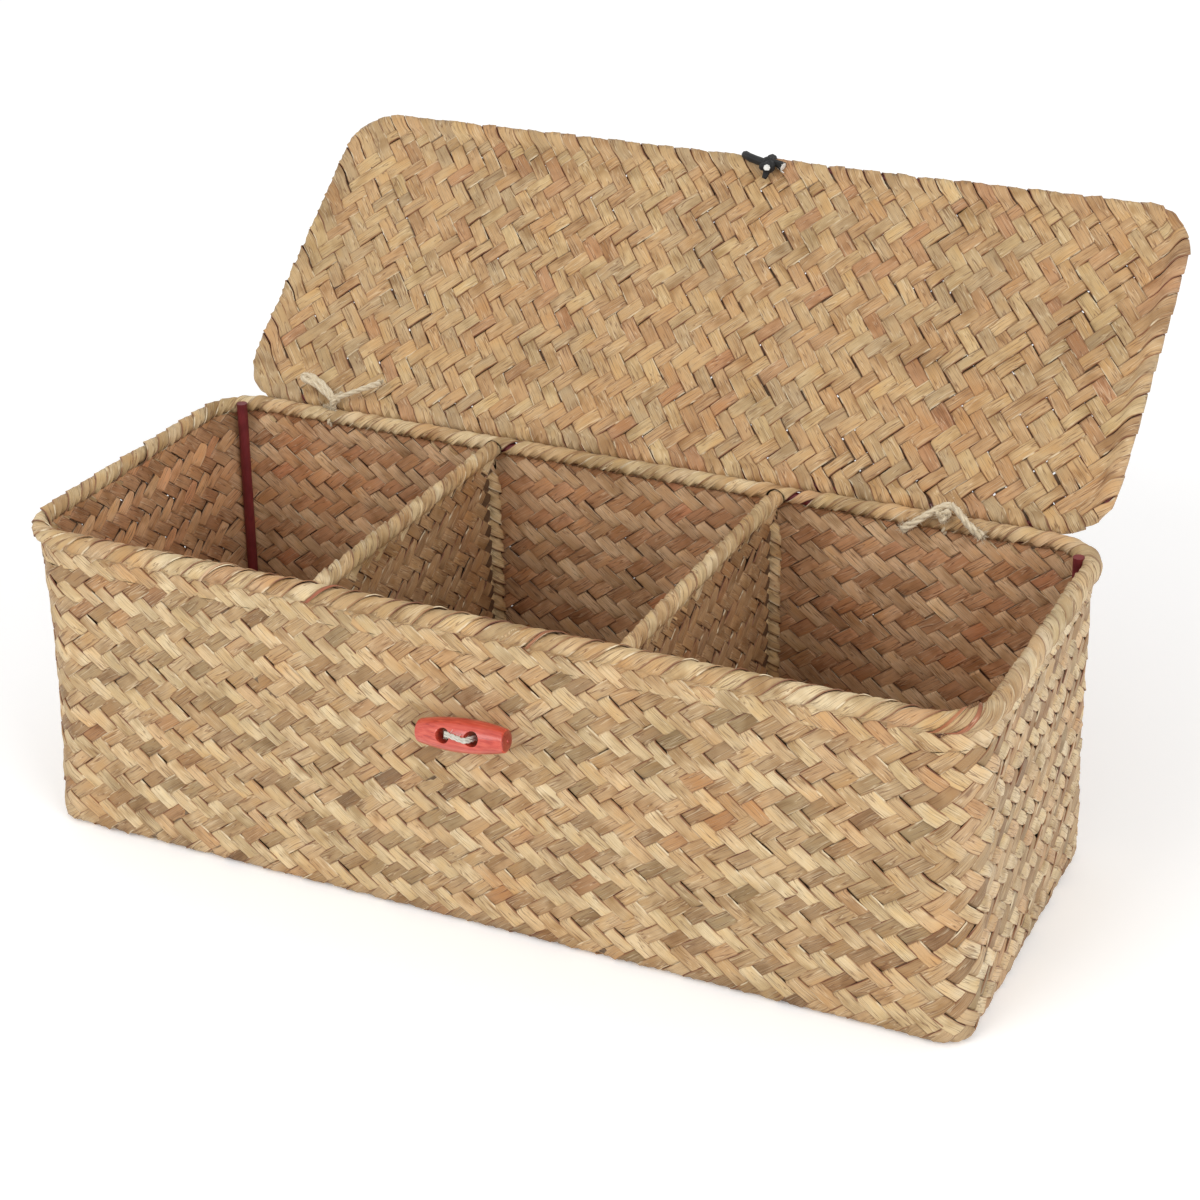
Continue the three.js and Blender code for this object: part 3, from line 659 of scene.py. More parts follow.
# ---------------------------------------------------------------- flat sheets
def lattice(pitch, rise, origin, reach, judge):
    """Both families over a flat sheet: name, strips, step and the other's step. Judge says of
    each crossing if the strip goes on there, and its state."""
    found = []
    many = int(math.ceil(2 * reach[0] / pitch + 2 * reach[1] / rise)) + 2
    run = np.arange(-many, many + 1)
    for rising in (True, False):
        strips = []
        step = (pitch / 2, rise / 2 if rising else -rise / 2)
        for fixed in run:
            x = origin[0] + fixed * pitch / 2 + run * step[0]
            y = origin[1] - fixed * step[1] + run * step[1]
            near = (np.abs(x) < reach[0]) & (np.abs(y) < reach[1])
            if near.sum() < 2:
                continue
            goes_on, states = judge(x, y, rising)
            goes_on &= near
            best = last = (0, 0)
            for k, good in enumerate(goes_on):
                last = (last[0], k + 1) if good and last[1] == k else (k, k + 1) if good else last
                best = max(best, last, key=lambda span: span[1] - span[0])
            if best[1] - best[0] > 2:
                strips.append((x[best[0]], y[best[0]], list(states[best[0]:best[1]])))
        found.append(("rising" if rising else "falling", strips, step, (step[0], -step[1])))
    return found


# ---------------------------------------------------------------- lid
LID_FOLD = 12.0                     # where the lid's sheet starts to bend, in from its edge
LID_WRAP = 1.85
LID_TURN = math.radians(40)
LID_ARC = LID_WRAP / (2 * (1 - math.cos(LID_TURN))) * LID_TURN
LID_RUN = 2 * LID_ARC / LID_TURN * math.sin(LID_TURN)
LID_LINE = traced([(LID_FOLD - LID_RUN, 0), (LID_ARC, LID_TURN), (LID_ARC, -LID_TURN),
                   (LID_WRAP * math.pi, -math.pi), (22.0, 0)], (-LID_FOLD, 0.0), 0.0)


def from_lid_edge(x, y):
    """How far a place lies beyond the lid's rounded edge, and the way out."""
    q = np.stack([np.abs(x) - (LID_X - LID_CORNER), np.abs(y) - (LID_Y - LID_CORNER)])
    beyond = np.maximum(q, 0)
    reach = np.hypot(*beyond)
    deep = np.stack([q[0] > q[1], q[0] <= q[1]]).astype(float)
    way = np.where(reach > 1e-6, beyond / np.maximum(reach, 1e-6), deep)
    past = reach + np.minimum(q.max(0), 0) - LID_CORNER
    return past, way[0] * np.sign(x), way[1] * np.sign(y)


def opened(x, y, z):
    """From the lid's shut place to its open one, turned about the hinge."""
    cos, sin = math.cos(-LID_OPEN), math.sin(-LID_OPEN)
    return np.column_stack([x, HINGE_Y + (y - HINGE_Y) * cos - (z - HINGE_Z) * sin,
                            HINGE_Z + (y - HINGE_Y) * sin + (z - HINGE_Z) * cos])


def on_lid(x, y, n):
    """The lid's inner face: x along the hinge, y away from it, n out of the inner face."""
    past, way_x, way_y = from_lid_edge(x, y)
    out, up, heading = follow(LID_LINE, past + LID_FOLD)
    folded = past > -LID_FOLD
    out = np.where(folded, out - n * np.sin(heading), past)
    up = np.where(folded, up + n * np.cos(heading), n)
    flat_x = x + (out - past) * way_x
    flat_y = y + (out - past) * way_y
    up = up + 0.35 * np.sin(x / 31.0) * np.cos(y / 26.0)
    return opened(flat_x, -flat_y, LID_Z - up)


def lid_judge(x, y, rising):
    past, way_x, _ = from_lid_edge(x, y)
    ends = np.abs(x) - 120 > np.abs(y)
    phase = np.where(ends, np.rint(2 * x / LID_PITCH), np.rint(2 * y / LID_RISE)) % 4
    rising_over = np.where(past > -7.5, way_x > 0.72, phase >= 2)
    over = rising_over == rising
    reach = 12.5 + 2.2 * np.sin(x * 0.9 + y * 1.7)
    states = np.where(over, np.where(past > 6.5, 0.25, 1.0), -1.0)
    return np.where(over, past < reach, past < 0.9), states


def worn_by_hinge(x, y):
    """The lid's strips have shrunk beside the hinge on the right, where light comes through."""
    uneven = 0.01 + 0.24 * np.clip(np.sin(x * 0.42 + 0.6) * np.sin(x * 0.17 + y * 0.3 + 1.2), 0, 1)
    return 1 - uneven * np.exp(-((y + 58) / 7) ** 2) * np.clip((x - 55) / 25, 0, 1)


def build_lid():
    for family, strips, step, cross in lattice(LID_PITCH, LID_RISE, (0.9, 0.0),
                                               (LID_X + 18, LID_Y + 18), lid_judge):
        mesh = ribbons(f"lid_strips_{family}", strips, step, on_lid, 5.75, 1.05, 0.62,
                       bias=-0.05 if family == "rising" else 0.05, cross=cross,
                       slim=worn_by_hinge)
        finish_piece(mesh, "lid", lid_seagrass, "lid_panel", "lid_border")


build_lid()


# ---------------------------------------------------------------- floor and dividers
def build_floor():
    def judge(x, y, rising):
        inside = (np.abs(x) < WALL_X - 3) & (np.abs(y) < WALL_Y - 3)
        edge = np.maximum(np.abs(x) - WALL_X, np.abs(y) - WALL_Y) > -6.5
        over = (np.rint(2 * y / LID_RISE) % 4 >= 2) == rising
        return inside, np.where(over & ~edge, 1.0, -1.0)

    def on_floor(x, y, n):
        return np.column_stack([x, y, 2.1 + n * 0.85])

    for family, strips, step, cross in lattice(LID_PITCH, LID_RISE, (0, 0), (WALL_X, WALL_Y),
                                               judge):
        mesh = ribbons(f"floor_strips_{family}", strips, step, on_floor, 5.9, 1.0, 0.55,
                       per_crossing=3, cross=cross)
        material = rising_seagrass if family == "rising" else falling_seagrass
        finish_piece(mesh, "basket", material, "woven_body")


DIVIDER_WRAP = 2.55
DIVIDER_S = DIVIDER_WRAP / (2 * (1 - math.cos(S_TURN)))
DIVIDER_ARC = DIVIDER_S * S_TURN
DIVIDER_START = RIM_Z - 2 * DIVIDER_S * math.sin(S_TURN) - RUN_UP
DIVIDER_LINE = traced([(RUN_UP, 0), (DIVIDER_ARC, -S_TURN), (DIVIDER_ARC, S_TURN),
                       (DIVIDER_WRAP * math.pi, math.pi), (1.0, 0), (DIVIDER_ARC, S_TURN),
                       (DIVIDER_ARC, -S_TURN), (6.0, 0)], (0.0, DIVIDER_START), math.pi / 2)


def build_dividers():
    half_rise = WALL_RISE / 2

    def judge(x, y, rising):
        level = np.rint((ROW_TOP - y) / half_rise - 0.5)
        inside = (np.abs(x) < DIVIDER_HALF + 1) & (level >= 0) & (y > 5)
        over = (level % 4 >= 2) == rising
        edge = np.abs(x) > DIVIDER_HALF - 3
        return inside, np.where(over & ~edge, 1.0, -1.0)

    for side, centre in (("left", -DIVIDER_X), ("right", DIVIDER_X)):
        def on_divider(x, y, n):
            wave = 0.5 * np.sin(x / 21.0 + centre) * np.sin(y / 30.0)
            return np.column_stack([centre + n + wave, x, y])

        def on_divider_rim(x, y, n):
            out, up, heading = follow(DIVIDER_LINE, y - DIVIDER_START)
            return np.column_stack([centre + out + n * np.sin(heading),
                                    np.clip(x, -BORDER_HALF, BORDER_HALF),
                                    up - n * np.cos(heading)])

        for family, strips, step, cross in lattice(WALL_PITCH, WALL_RISE,
                                                   (0, ROW_TOP - half_rise / 2),
                                                   (DIVIDER_HALF + 2, 200), judge):
            width, slim = (5.6, lambda x, y: 1 - 0.48 * pinched(y)) if family == "rising" \
                else (5.3, None)
            mesh = ribbons(f"{side}_divider_strips_{family}", strips, step, on_divider, width,
                           1.0, 0.62, cross=cross, slim=slim)
            finish_piece(mesh, "basket", divider_seagrass, f"{side}_divider_panel")

        wraps = [(WALL_PITCH * j - 4.0, ROW_TOP - half_rise, [-0.9] + [1] * 6 + [-0.5])
                 for j in range(-9, 8)]
        mesh = ribbons(f"{side}_divider_wraps", wraps, (WALL_PITCH / 2, half_rise),
                       on_divider_rim, 6.1, 0.65, 0.4, per_crossing=5, tilt=-8.0, roll=3.0,
                       cross=(-WALL_PITCH / 2, half_rise))
        finish_piece(mesh, "basket", border_seagrass, f"{side}_divider_border")

        for end, sign in (("front", -1), ("back", 1)):
            def on_column(x, y, n):
                turn, reach = x / COLUMN_RADIUS, COLUMN_RADIUS + n
                return np.column_stack([centre + reach * np.cos(turn),
                                        sign * COLUMN_Y + reach * np.sin(turn),
                                        np.maximum(y, 2.4)])

            tiles = [(-5.6, 10.5 + 6.4 * k, [-0.7, 1, 1, 1, 0.0]) for k in range(17)]
            mesh = ribbons(f"{side}_divider_{end}_tiles", tiles, (2.8, -2.6), on_column, 5.9,
                           0.7, 0.5, tilt=-11.0, slim=lambda x, y: 1.0 - 0.05 * (x > 3))
            finish_piece(mesh, "basket", border_seagrass, f"{side}_divider_{end}_edge")


build_floor()
build_dividers()


# ---------------------------------------------------------------- twine, elastic and toggle
def smooth_path(points, spacing):
    """A Catmull-Rom curve through points, resampled every spacing."""
    p = np.array([points[0]] + list(points) + [points[-1]], float)
    fine = []
    for a, b, c, d in zip(p[:-3], p[1:-2], p[2:-1], p[3:]):
        u = np.linspace(0, 1, 12, endpoint=False)[:, None]
        fine.append(0.5 * (2 * b + (c - a) * u + (2 * a - 5 * b + 4 * c - d) * u ** 2
                           + (3 * b - a - 3 * c + d) * u ** 3))
    fine = np.concatenate(fine + [p[-1:]])
    lengths = np.concatenate([[0], np.cumsum(np.linalg.norm(np.diff(fine, axis=0), axis=1))])
    even = np.linspace(0, lengths[-1], max(4, int(lengths[-1] / spacing)))
    return np.stack([np.interp(even, lengths, fine[:, k]) for k in range(3)], axis=1), lengths[-1]


def carried_frames(path):
    ahead = np.gradient(path, axis=0)
    ahead /= np.linalg.norm(ahead, axis=1)[:, None]
    side = np.cross(ahead[0], (0, 0, 1) if abs(ahead[0][2]) < 0.9 else (1, 0, 0))
    sides = []
    for way in ahead:
        side = side - way * side.dot(way)
        side /= np.linalg.norm(side)
        sides.append(side)
    sides = np.array(sides)
    return sides, np.cross(ahead, sides)


def strand(points, radius, plies=1, lay=5.0, splay=0.0, taper=0.0):
    """One run of cord: plies twisted together once every lay millimetres, splaying apart and
    tapering towards their end."""
    return points, radius, plies, lay, splay, taper


def cords(name, runs):
    """A mesh of round cords from their strands."""
    tubes = []
    for points, radius, plies, lay, splay, taper in runs:
        path, length = smooth_path(points, 0.45 if radius > 0.2 else 0.8)
        side, other = carried_frames(path)
        share = np.linspace(0, 1, len(path))
        ply_radius = radius * {1: 1.0, 2: 0.62, 3: 0.58}[plies]
        apart = (radius - ply_radius) * (1 + splay * share ** 3)
        for ply in range(plies):
            angle = 2 * math.pi * (ply / plies + share * length / lay)
            centre = path + (side * (np.cos(angle) * apart)[:, None]
                             + other * (np.sin(angle) * apart)[:, None])
            tubes.append((centre, side, other, ply_radius * (1 - taper * share ** 2),
                          share * length))
    mesh, k, corner, along = raw_tubes(name, [len(tube[0]) for tube in tubes])
    points, grain = np.empty((2, len(k), 3))
    for index, (centre, side, other, size, run) in enumerate(tubes):
        mine = k == index
        ring = np.rint(along[mine] * (len(centre) - 1)).astype(int)
        turn = corner[mine] * math.pi / 4
        points[mine] = centre[ring] + size[ring][:, None] * (
            side[ring] * np.cos(turn)[:, None] + other[ring] * np.sin(turn)[:, None])
        grain[mine] = np.stack([run[ring], turn, np.full(len(ring), index * 7.0)], axis=1)
    mesh.vertices.foreach_set("co", (points * MM).astype(np.float32).ravel())
    keep(mesh, "grain", "FLOAT_VECTOR", "vector", list(grain.T))
    mesh.update()
    return mesh


WISP = (0.05, 0.12)


def hairs(path, radius, count, length, thick=(0.05, 0.1)):
    """Loose fibres that stand off a cord."""
    points, _ = smooth_path(path, 0.4)
    runs = []
    for _ in range(count):
        start = points[rng.integers(len(points))]
        way = rng.normal(0, 1, 3)
        way /= np.linalg.norm(way)
        long = length * rng.uniform(0.4, 1.3)
        bend = rng.normal(0, 0.35, 3) * long
        runs.append(strand([start + way * radius * 0.6, start + way * long * 0.5,
                            start + way * long + bend], rng.uniform(*thick), taper=0.6))
    return runs


def knot_path(centre, size, along=(1, 0, 0), up=(0, 0, 1)):
    """A pulled-tight overhand knot."""
    along, up = np.array(along, float), np.array(up, float)
    through = np.cross(along, up)
    t = np.linspace(0, 2 * math.pi, 25)
    a = np.sin(t) + 1.7 * np.sin(2 * t)
    b = np.cos(t) - 1.7 * np.cos(2 * t)
    c = -1.1 * np.sin(3 * t)
    return centre + size / 5.4 * (along * a[:, None] + up * b[:, None] + through * c[:, None])


def natural_twine(name, *stops):
    """Undyed twine: matt, pale, hairy, a little grubby in the lay."""
    material, tree, shader = new_material(name)
    grain = attribute(tree, "grain").outputs["Vector"]
    fibres = noise(tree, stretched(tree, grain, 0.5, 3.0, 1.0), 3.0)
    plug(tree, shader, {"Base Color": ramp(tree, fibres, *stops), "Roughness": 0.9,
                        "Sheen Weight": 0.25, "Normal": bumped(tree, fibres, 0.8, 0.00025)})
    return material


def braided_elastic():
    """Black elastic cord: a fine braided sleeve, dull with a faint sheen on each yarn."""
    material, tree, shader = new_material("black_braided_elastic")
    grain = node(tree, "SeparateXYZ", {0: attribute(tree, "grain").outputs["Vector"]})
    waves = []
    for sign in (1, -1):
        turn = sums(tree, "MULTIPLY", grain.outputs[1], 4.0 * sign)
        waves.append(sums(tree, "SINE", sums(tree, "MULTIPLY_ADD", grain.outputs[0], 5.5, turn)))
    braid = sums(tree, "MULTIPLY", *waves)
    # the braid's grooves are painted darker and its crests lighter: painted shade and painted
    # highlight
    colour = ramp(tree, spread(tree, braid, start=-1.0), (0.0, "#050505"), (0.6, "#0C0C0C"),
                  (1.0, "#171717"))
    plug(tree, shader, {"Base Color": colour, "Roughness": 0.7, "Sheen Weight": 0.04,
                        "Normal": bumped(tree, braid, 0.6, 0.0002)})
    return material


def rubber_core():
    """The cut end of the elastic: chalky white rubber threads."""
    material, tree, shader = new_material("white_rubber_core")
    threads = node(tree, "TexVoronoi", {"Vector": object_place(tree), "Scale": 2600.0})
    plug(tree, shader, {"Base Color": ramp(tree, threads.outputs[0], (0.2, "#F2F1EC"),
                                           (0.8, "#C9C7C0")), "Roughness": 0.65})
    return material


def stained_wood():
    """Turned wood under a coral-red stain and a thin varnish: satin, with grain along it."""
    material, tree, shader = new_material("red_stained_varnished_wood")
    place = object_place(tree)
    grain = noise(tree, stretched(tree, place, 90.0, 1300.0, 1300.0), 4.0, roughness=0.6)
    worn = ramp(tree, noise(tree, place, 2.0, scale=190.0), (0.3, "#E0BDB2"), (0.6, "#FFFFFF"))
    stain = ramp(tree, grain, (0.25, "#962A20"), (0.45, "#C64634"), (0.7, "#D6624C"))
    colour = mixed(tree, "MULTIPLY", 0.7, stain, worn)
    # painted shade inside the holes; the end faces are darker too, partly for their end grain and
    # partly as painted shade
    hole_shade_and_end_grain = attribute(tree, "hole_shade_and_end_grain").outputs["Fac"]
    plug(tree, shader, {"Base Color": mixed(tree, "MIX", hole_shade_and_end_grain, colour, linear("#301317")),
                        "Roughness": spread(tree, grain, low=0.42, high=0.3),
                        "Coat Weight": 0.5, "Coat Roughness": 0.16,
                        "Normal": bumped(tree, grain, 0.35, 0.00015)})
    return material


twine = natural_twine("undyed_jute_twine", (0.25, "#A88F6C"), (0.45, "#D2C0A0"),
                      (0.7, "#E6DAC2"))
stitch_twine = natural_twine("bleached_cotton_twine", (0.25, "#8F897C"), (0.45, "#CBC6B8"),
                             (0.7, "#E8E5DA"))
elastic = braided_elastic()
rubber = rubber_core()
red_wood = stained_wood()


def tie_ring(x, lean, crown):
    """Once round the rim and the lid's edge together; crown is the arc over the lid's edge."""
    ring = []
    over_rim = (WALL_Y, RIM_Z - 0.6, 2.5, 100, 290)
    for y, z, r, start, stop in (over_rim, crown[:3] + (290, crown[3])):
        for angle in np.radians(np.linspace(start, stop, 7)):
            ring.append((x, y + r * math.cos(angle), z + r * math.sin(angle)))
    ring.append(ring[0])
    return [(x + lean * math.sin(k / len(ring) * 2 * math.pi), y, z)
            for k, (_, y, z) in enumerate(ring)]


def build_ties():
    up_lid = np.array((0, 0.783, 0.622))
    off_lid = np.array((0, -0.622, 0.783))
    nip = np.array((-134.2, 72.6, 128.5))

    def from_nip(*steps):
        """Places given sideways, up the lid and off it."""
        return [nip] + [nip + (x, 0, 0) + up_lid * up + off_lid * off for x, up, off in steps]

    right_tail = from_nip((4.4, 2.6, 0.4), (9.6, 6.0, 0.2), (17.2, 10.9, -0.1))
    left_tail = from_nip((-3.5, 3.0, 0.5), (-8.4, 6.2, 0.4), (-14.6, 8.6, 0.2),
                         (-17.6, 8.0, 0), (-16.2, 6.6, 0), (-11.0, 5.4, -0.1),
                         (-5.0, 2.4, -0.1), (-1.0, 0.2, 0))
    knot = knot_path(nip, 4.0, up=up_lid)
    ring = tie_ring(-134.4, 0.6, (77.3, 125.2, 3.5, 425))
    fluff = [nip + (-3.2, -2.6, -2.2), nip + (0.2, -3.2, -2.6), nip + (2.4, -3.4, -2.9)]
    runs = [strand(ring, 1.05, 2), strand(knot, 0.95, 2),
            strand(right_tail, 1.0, 3, 12.0, 0.5, -0.6), strand(left_tail, 1.35, 3, 18.0)]
    for path, radius, count, length in (
            (right_tail, 1.0, 170, 0.9), (right_tail[-1:], 1.3, 90, 1.5),
            (left_tail, 1.2, 260, 1.0), (left_tail[3:5], 1.3, 90, 1.9),
            (list(knot), 1.0, 180, 1.4), (ring, 1.0, 110, 1.1), (fluff, 0.3, 130, 1.3)):
        runs += hairs(path, radius, count, length, WISP)
    piece = finish_piece(cords("left_twine_tie", runs), None, twine, "left_hinge_tie")
    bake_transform(piece)

    # the right tie's tails arch over the rim from its knot and hug the inside, frayed like wool
    knot_place = np.array((124.4, 65.2, 127.4))
    crown = np.array((126.2, 68.1, 130.6))
    ring = tie_ring(123.8, 0.4, (77.0, 124.9, 3.1, 415))
    knot = knot_path(knot_place, 4.2, up=(0, 0.5, 0.86))
    runs = [strand(ring, 1.05, 2), strand(knot, 1.1, 2)]
    for reach, drops in ((-16.0, (0.7, 3.9, 7.4, 10.0)), (14.0, (1.1, 3.7, 6.0, 7.6))):
        tail = [crown] + [crown + (reach * share, -out, -drop) for share, out, drop
                          in zip((0.2, 0.5, 0.78, 1.0), (1.4, 3.9, 5.4, 5.6), drops)]
        runs.append(strand(tail, 1.3, 3, 12.0, 0.5, -0.2))
        runs += hairs(tail, 1.3, 480, 1.4, WISP)
        runs += hairs(tail[-2:], 1.3, 150, 2.1, WISP)
    runs += hairs(list(knot), 1.1, 330, 1.7, WISP) + hairs(ring, 1.0, 100, 1.1, WISP)
    piece = finish_piece(cords("right_twine_tie", runs), None, twine, "right_hinge_tie")
    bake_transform(piece)


def shut(points):
    """Lid points given in its shut place, turned to the open one."""
    return opened(*np.array(points, float).T)


def build_elastic():
    def band(back_x, edge_x, last=235):
        """It carries a leg of the loop on round the edge and over the inner face."""
        points = []
        for turn in (46, 70, 95, 120, 150, 180, 210, 235, 262):
            if turn <= last:
                reach = np.interp(turn, (46, 120, 150, 180, 225, 262),
                                  (3.5, 3.2, 2.3, 1.5, 3.0, 3.9))
                points.append((np.interp(turn, (90, 200), (back_x, edge_x)),
                               reach * math.cos(math.radians(turn)) - LID_Y,
                               reach * math.sin(math.radians(turn)) + LID_Z))
        return points

    knot = np.array((9.3, -65.4, 124.1))
    left = band(-4.4, -2.4) + [(0.2, -68.6, 125.1), (3.6, -67.4, 124.7), (6.6, -66.4, 124.2), knot]
    right = band(9.5, 9.2, 262) + [(9.6, -67.0, 124.6), (9.4, -65.2, 123.6)]
    dot_end = [knot, (9.8, -64.2, 122.9), (10.4, -62.6, 122.4), (10.8, -62.0, 121.5)]
    stub = [knot, (12.0, -66.8, 124.6), (13.6, -66.7, 124.9), (15.7, -65.9, 125.1)]
    tail = [knot, knot + (0.4, 3.2, 0.9), knot + (0.0, 5.6, 1.6)]
    tied = knot_path(knot + (0.2, 0.3, 0), 4.1, up=(0, 1, 0))
    runs = [strand(shut(points), 1.68) for points in (left, right, dot_end)]
    runs += [strand(shut(tied), 1.62), strand(shut(stub), 1.2, taper=-0.7),
             strand(shut(tail), 1.6, taper=0.4)]
    finish_piece(cords("elastic_bands_and_knot", runs), "lid", elastic, "elastic_knot")
    caps = []
    for path, radius in ((dot_end, 1.5), (stub, 1.95)):
        before, end = np.array(path[-2:])
        way = (end - before) / np.linalg.norm(end - before)
        caps.append(strand(shut([end - way * 0.3, end, end + way * 0.12]), radius, taper=0.2))
    caps.append(strand(shut([(12.6, -65.9, 125.9), (14.6, -64.7, 125.9), (16.6, -63.6, 125.9)]),
                       0.2))
    finish_piece(cords("elastic_cut_ends", caps), "lid", rubber, "elastic_knot")

    # both legs come out of the weave where the bands go in
    y = LOOP_Y
    loop = [(-3.9, y - 0.2, 207.8), (-3.1, y, 205.4), (-2.1, y, 202.4), (-2.0, y + 0.2, 196.2),
            (-1.9, y, 189.66), (-1.75, y, 181.92), (-0.23, y, 177.89), (3.8, y, 176.22),
            (7.83, y, 177.89), (9.35, y, 181.92), (9.5, y, 189.66), (9.6, y + 0.2, 196.2),
            (9.5, y, 202.4), (9.5, y, 205.4), (9.5, y - 0.2, 207.8)]
    path, length = smooth_path(loop, 1.17)
    piece = finish_piece(cords("elastic_closing_loop", [strand(loop, 1.3)]), "closing_loop",
                         elastic, "elastic_loop")


def build_toggle():
    tilt = Matrix.Rotation(math.radians(-5.5), 4, "Y")
    place = Matrix.Translation([size * MM for size in TOGGLE_PLACE]) @ tilt
    roll = Matrix.Rotation(math.radians(-20), 4, "X")       # the holes look a little upwards
    hole_places, hole_radius = (-5.0, 6.0), 2.75
    bm = bmesh.new()
    end = [(-TOGGLE_HALF, 0.0), (-TOGGLE_HALF, 1.8), (-17.25, 2.9), (-16.95, 3.7)]
    profile = end + [(TOGGLE_HALF * s, 6.0 - 2.0 * s * s)
                     for s in np.linspace(-0.955, 0.955, 25)]
    profile += [(-x, r) for x, r in reversed(end)]
    verts = [bm.verts.new((x * MM, 0, r * MM)) for x, r in profile]
    for a, b in zip(verts, verts[1:]):
        bm.edges.new((a, b))
    bmesh.ops.spin(bm, geom=list(bm.verts) + list(bm.edges), cent=(0, 0, 0), axis=(1, 0, 0),
                   angle=2 * math.pi, steps=64, use_duplicate=False)
    bmesh.ops.remove_doubles(bm, verts=list(bm.verts), dist=1e-6)
    bmesh.ops.recalc_face_normals(bm, faces=list(bm.faces))
    solid = placed("barrel", as_mesh(bm, "barrel"))
    bm = bmesh.new()
    turn = Matrix.Rotation(math.pi / 2, 4, "X")
    for x in hole_places:
        bmesh.ops.create_cone(bm, cap_ends=True, segments=40, radius1=hole_radius * MM,
                              radius2=hole_radius * MM, depth=20 * MM,
                              matrix=roll @ Matrix.Translation((x * MM, 0, 0)) @ turn)
    # a dimple in one end, from the lathe's centre
    bmesh.ops.create_icosphere(bm, subdivisions=2, radius=0.8 * MM,
                               matrix=Matrix.Translation((17.4 * MM, 0, 0)))
    cutter = placed("cutter", as_mesh(bm, "holes"))
    cut = solid.modifiers.new("holes", "BOOLEAN")
    cut.operation, cut.solver, cut.object = "DIFFERENCE", "EXACT", cutter
    bpy.context.view_layer.update()
    ready = solid.evaluated_get(bpy.context.evaluated_depsgraph_get())
    mesh = bpy.data.meshes.new_from_object(ready)
    mesh.name = "toggle_barrel"
    for thing in (solid, cutter):
        bpy.data.objects.remove(thing)
    bm = bmesh.new()
    bm.from_mesh(mesh)
    mouths = [edge for edge in bm.edges if len(edge.link_faces) == 2
              and edge.calc_face_angle(0) > math.radians(50)
              and abs(edge.verts[0].co.x) < 12 * MM]
    bmesh.ops.bevel(bm, geom=mouths, offset=0.45 * MM, offset_type="OFFSET", segments=3,
                    affect="EDGES", profile=0.5, material=-1, clamp_overlap=True)
    # painted shade on the hole walls, and a lighter darkening on the ends for end grain and
    # painted shade
    hole_shade_and_end_grain = []
    for face in bm.faces:
        x, _, z = roll.inverted() @ face.calc_center_median() / MM
        in_hole = min(math.hypot(x - hole, z) for hole in hole_places) < hole_radius - 0.01
        hole_shade_and_end_grain.append(1.0 if in_hole else 0.45 if abs(x) > 17.1 else 0.0)
    bmesh.ops.transform(bm, matrix=place, verts=list(bm.verts))
    bm.to_mesh(mesh)
    mesh.attributes.new("hole_shade_and_end_grain", "FLOAT", "FACE").data.foreach_set("value", hole_shade_and_end_grain)
    bm.free()
    mesh.materials.clear()
    finish_piece(mesh, "toggle", red_wood, "toggle")
    mesh.set_sharp_from_angle(angle=math.radians(35))

    def stitched(points):
        return [tuple(place @ roll @ Vector(np.array(p) * MM) / MM) for p in points]

    # two strands side by side: in through one hole, over the front and out through the other
    legs = [stitched([(-4.4, 5.9, z), (-4.7, 0, z), (-4.2, -4.6, z + 0.5),
                      (-3.0, -6.45, z * 0.8 + 0.9), (0.5, -6.7, z * 0.8 + 0.1),
                      (4.0, -6.45, z * 0.8 - 0.6), (5.2, -4.6, z - 0.3), (5.7, 0, z),
                      (5.5, 5.9, z)]) for z in (-0.5, 0.5)]
    runs = [strand(leg, 0.62, 2, 4.2) for leg in legs]
    for leg in legs:
        runs += hairs(leg[2:7], 0.9, 30, 1.3)
    finish_piece(cords("toggle_stitch", runs), "toggle", stitch_twine, "toggle_twine")

    knot = np.array((4.0, -65.1, 83.6))
    runs = [strand(knot_path(knot, 4.2, up=(0, 1, 0)), 1.0, 2, 4.0)]
    for sign in (-1, 1):
        tail = [knot, knot + (sign * 5, 0.2, -3.8), knot + (sign * 10.5, -0.2, -8.2)]
        runs.append(strand(tail, 1.0, 3, 4.6, 0.8, 0.2))
        runs += hairs(tail, 0.9, 25, 1.6)
    finish_piece(cords("toggle_stitch_knot", runs), "basket", twine, "toggle_knot")


build_elastic()
build_ties()
build_toggle()


# ---------------------------------------------------------------- stage and light
def seen_directly(tree):
    """1 where the camera or a mirror sees it, so that the light on the box stays as it is."""
    rays = node(tree, "LightPath")
    return sums(tree, "MAXIMUM", rays.outputs["Is Camera Ray"], rays.outputs["Is Glossy Ray"])


def build_stage():
    bm = bmesh.new()
    bmesh.ops.create_grid(bm, x_segments=1, y_segments=1, size=8.0)
    floor = placed("floor", as_mesh(bm, "floor"))
    material, tree, shader = new_material("white_paper_floor")
    # the paper is overexposed for the camera only, and keeps the shadow
    glow = sums(tree, "MULTIPLY", seen_directly(tree), 0.16)
    plug(tree, shader, {"Base Color": linear("#FDFDFD"), "Roughness": 0.9,
                        "Emission Color": linear("#FFFFFF"), "Emission Strength": glow})
    floor.data.materials.append(material)

    world = bpy.data.worlds.new("studio")
    bpy.context.scene.world = world
    world.use_nodes = True
    tree = world.node_tree
    tree.nodes.clear()
    strength = spread(tree, seen_directly(tree), low=0.72, high=1.0)
    sky = node(tree, "Background", {"Color": linear("#FFFFFF"), "Strength": strength})
    node(tree, "OutputWorld", {0: sky.outputs[0]})

    for name, spot, power in (("key", (-1.2, -2.6, 2.0), 38.5), ("fill", (2.9, -1.5, 1.6), 46.0)):
        lamp = bpy.data.lights.new(name, "AREA")
        lamp.energy, lamp.size = power, 1.8
        light = placed(name, lamp)
        light.location = spot
        way = Vector((0, 0.05, 0.08)) - Vector(spot)
        light.rotation_euler = way.to_track_quat("-Z", "Y").to_euler()


build_stage()
bpy.context.scene.view_settings.view_transform = "Standard"

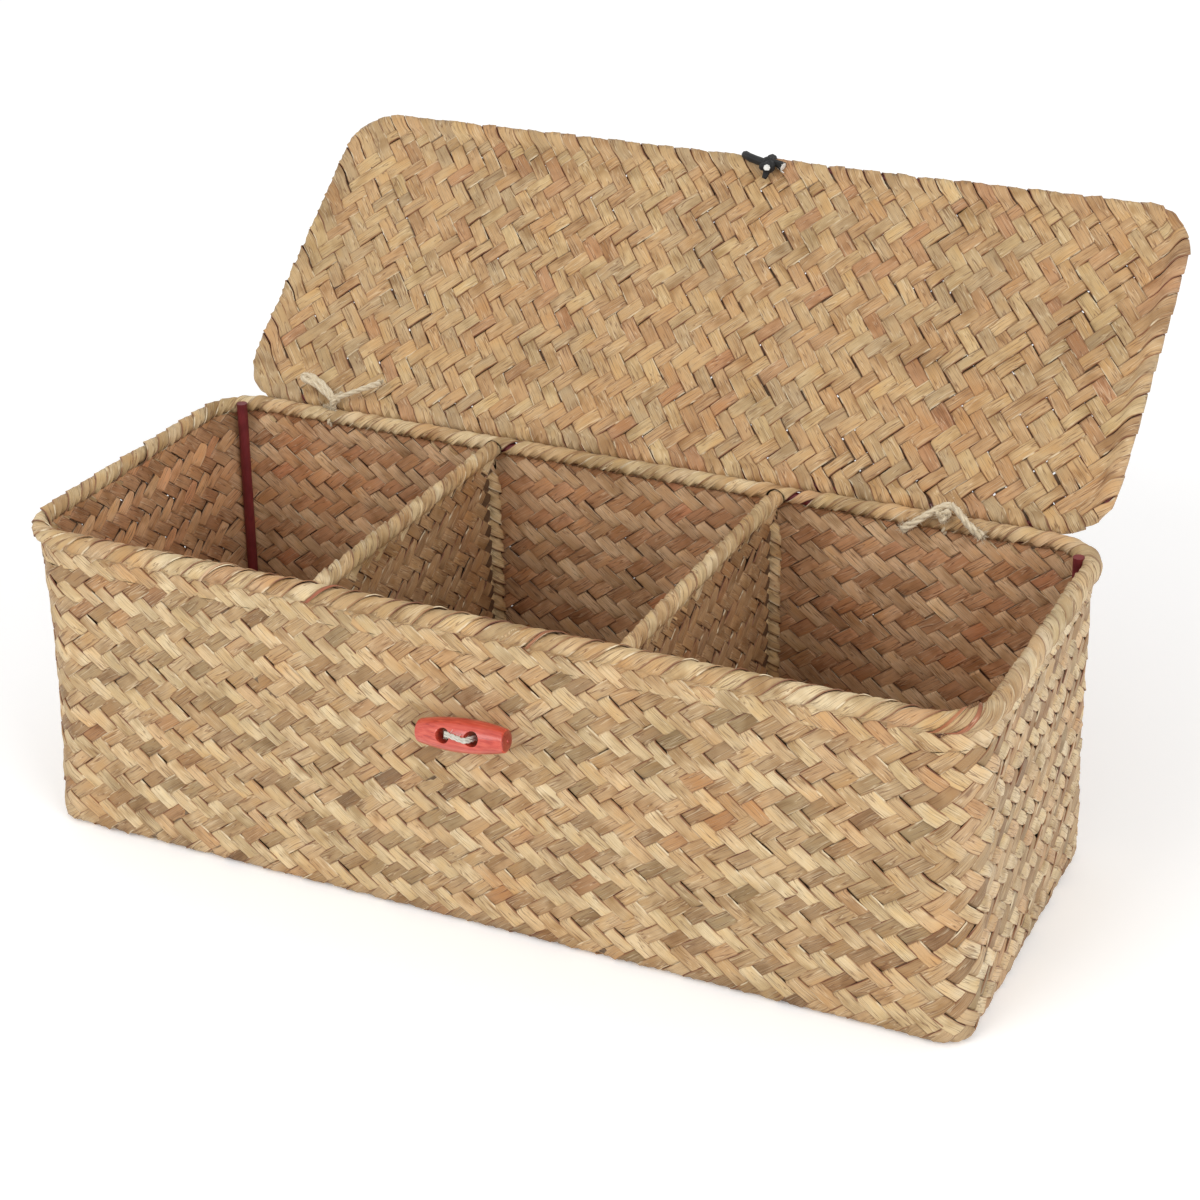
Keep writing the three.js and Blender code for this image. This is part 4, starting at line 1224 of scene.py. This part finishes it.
for cad_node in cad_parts.values():
    for material_slot in cad_node.material_slots:
        material_slot.material = wire_paint
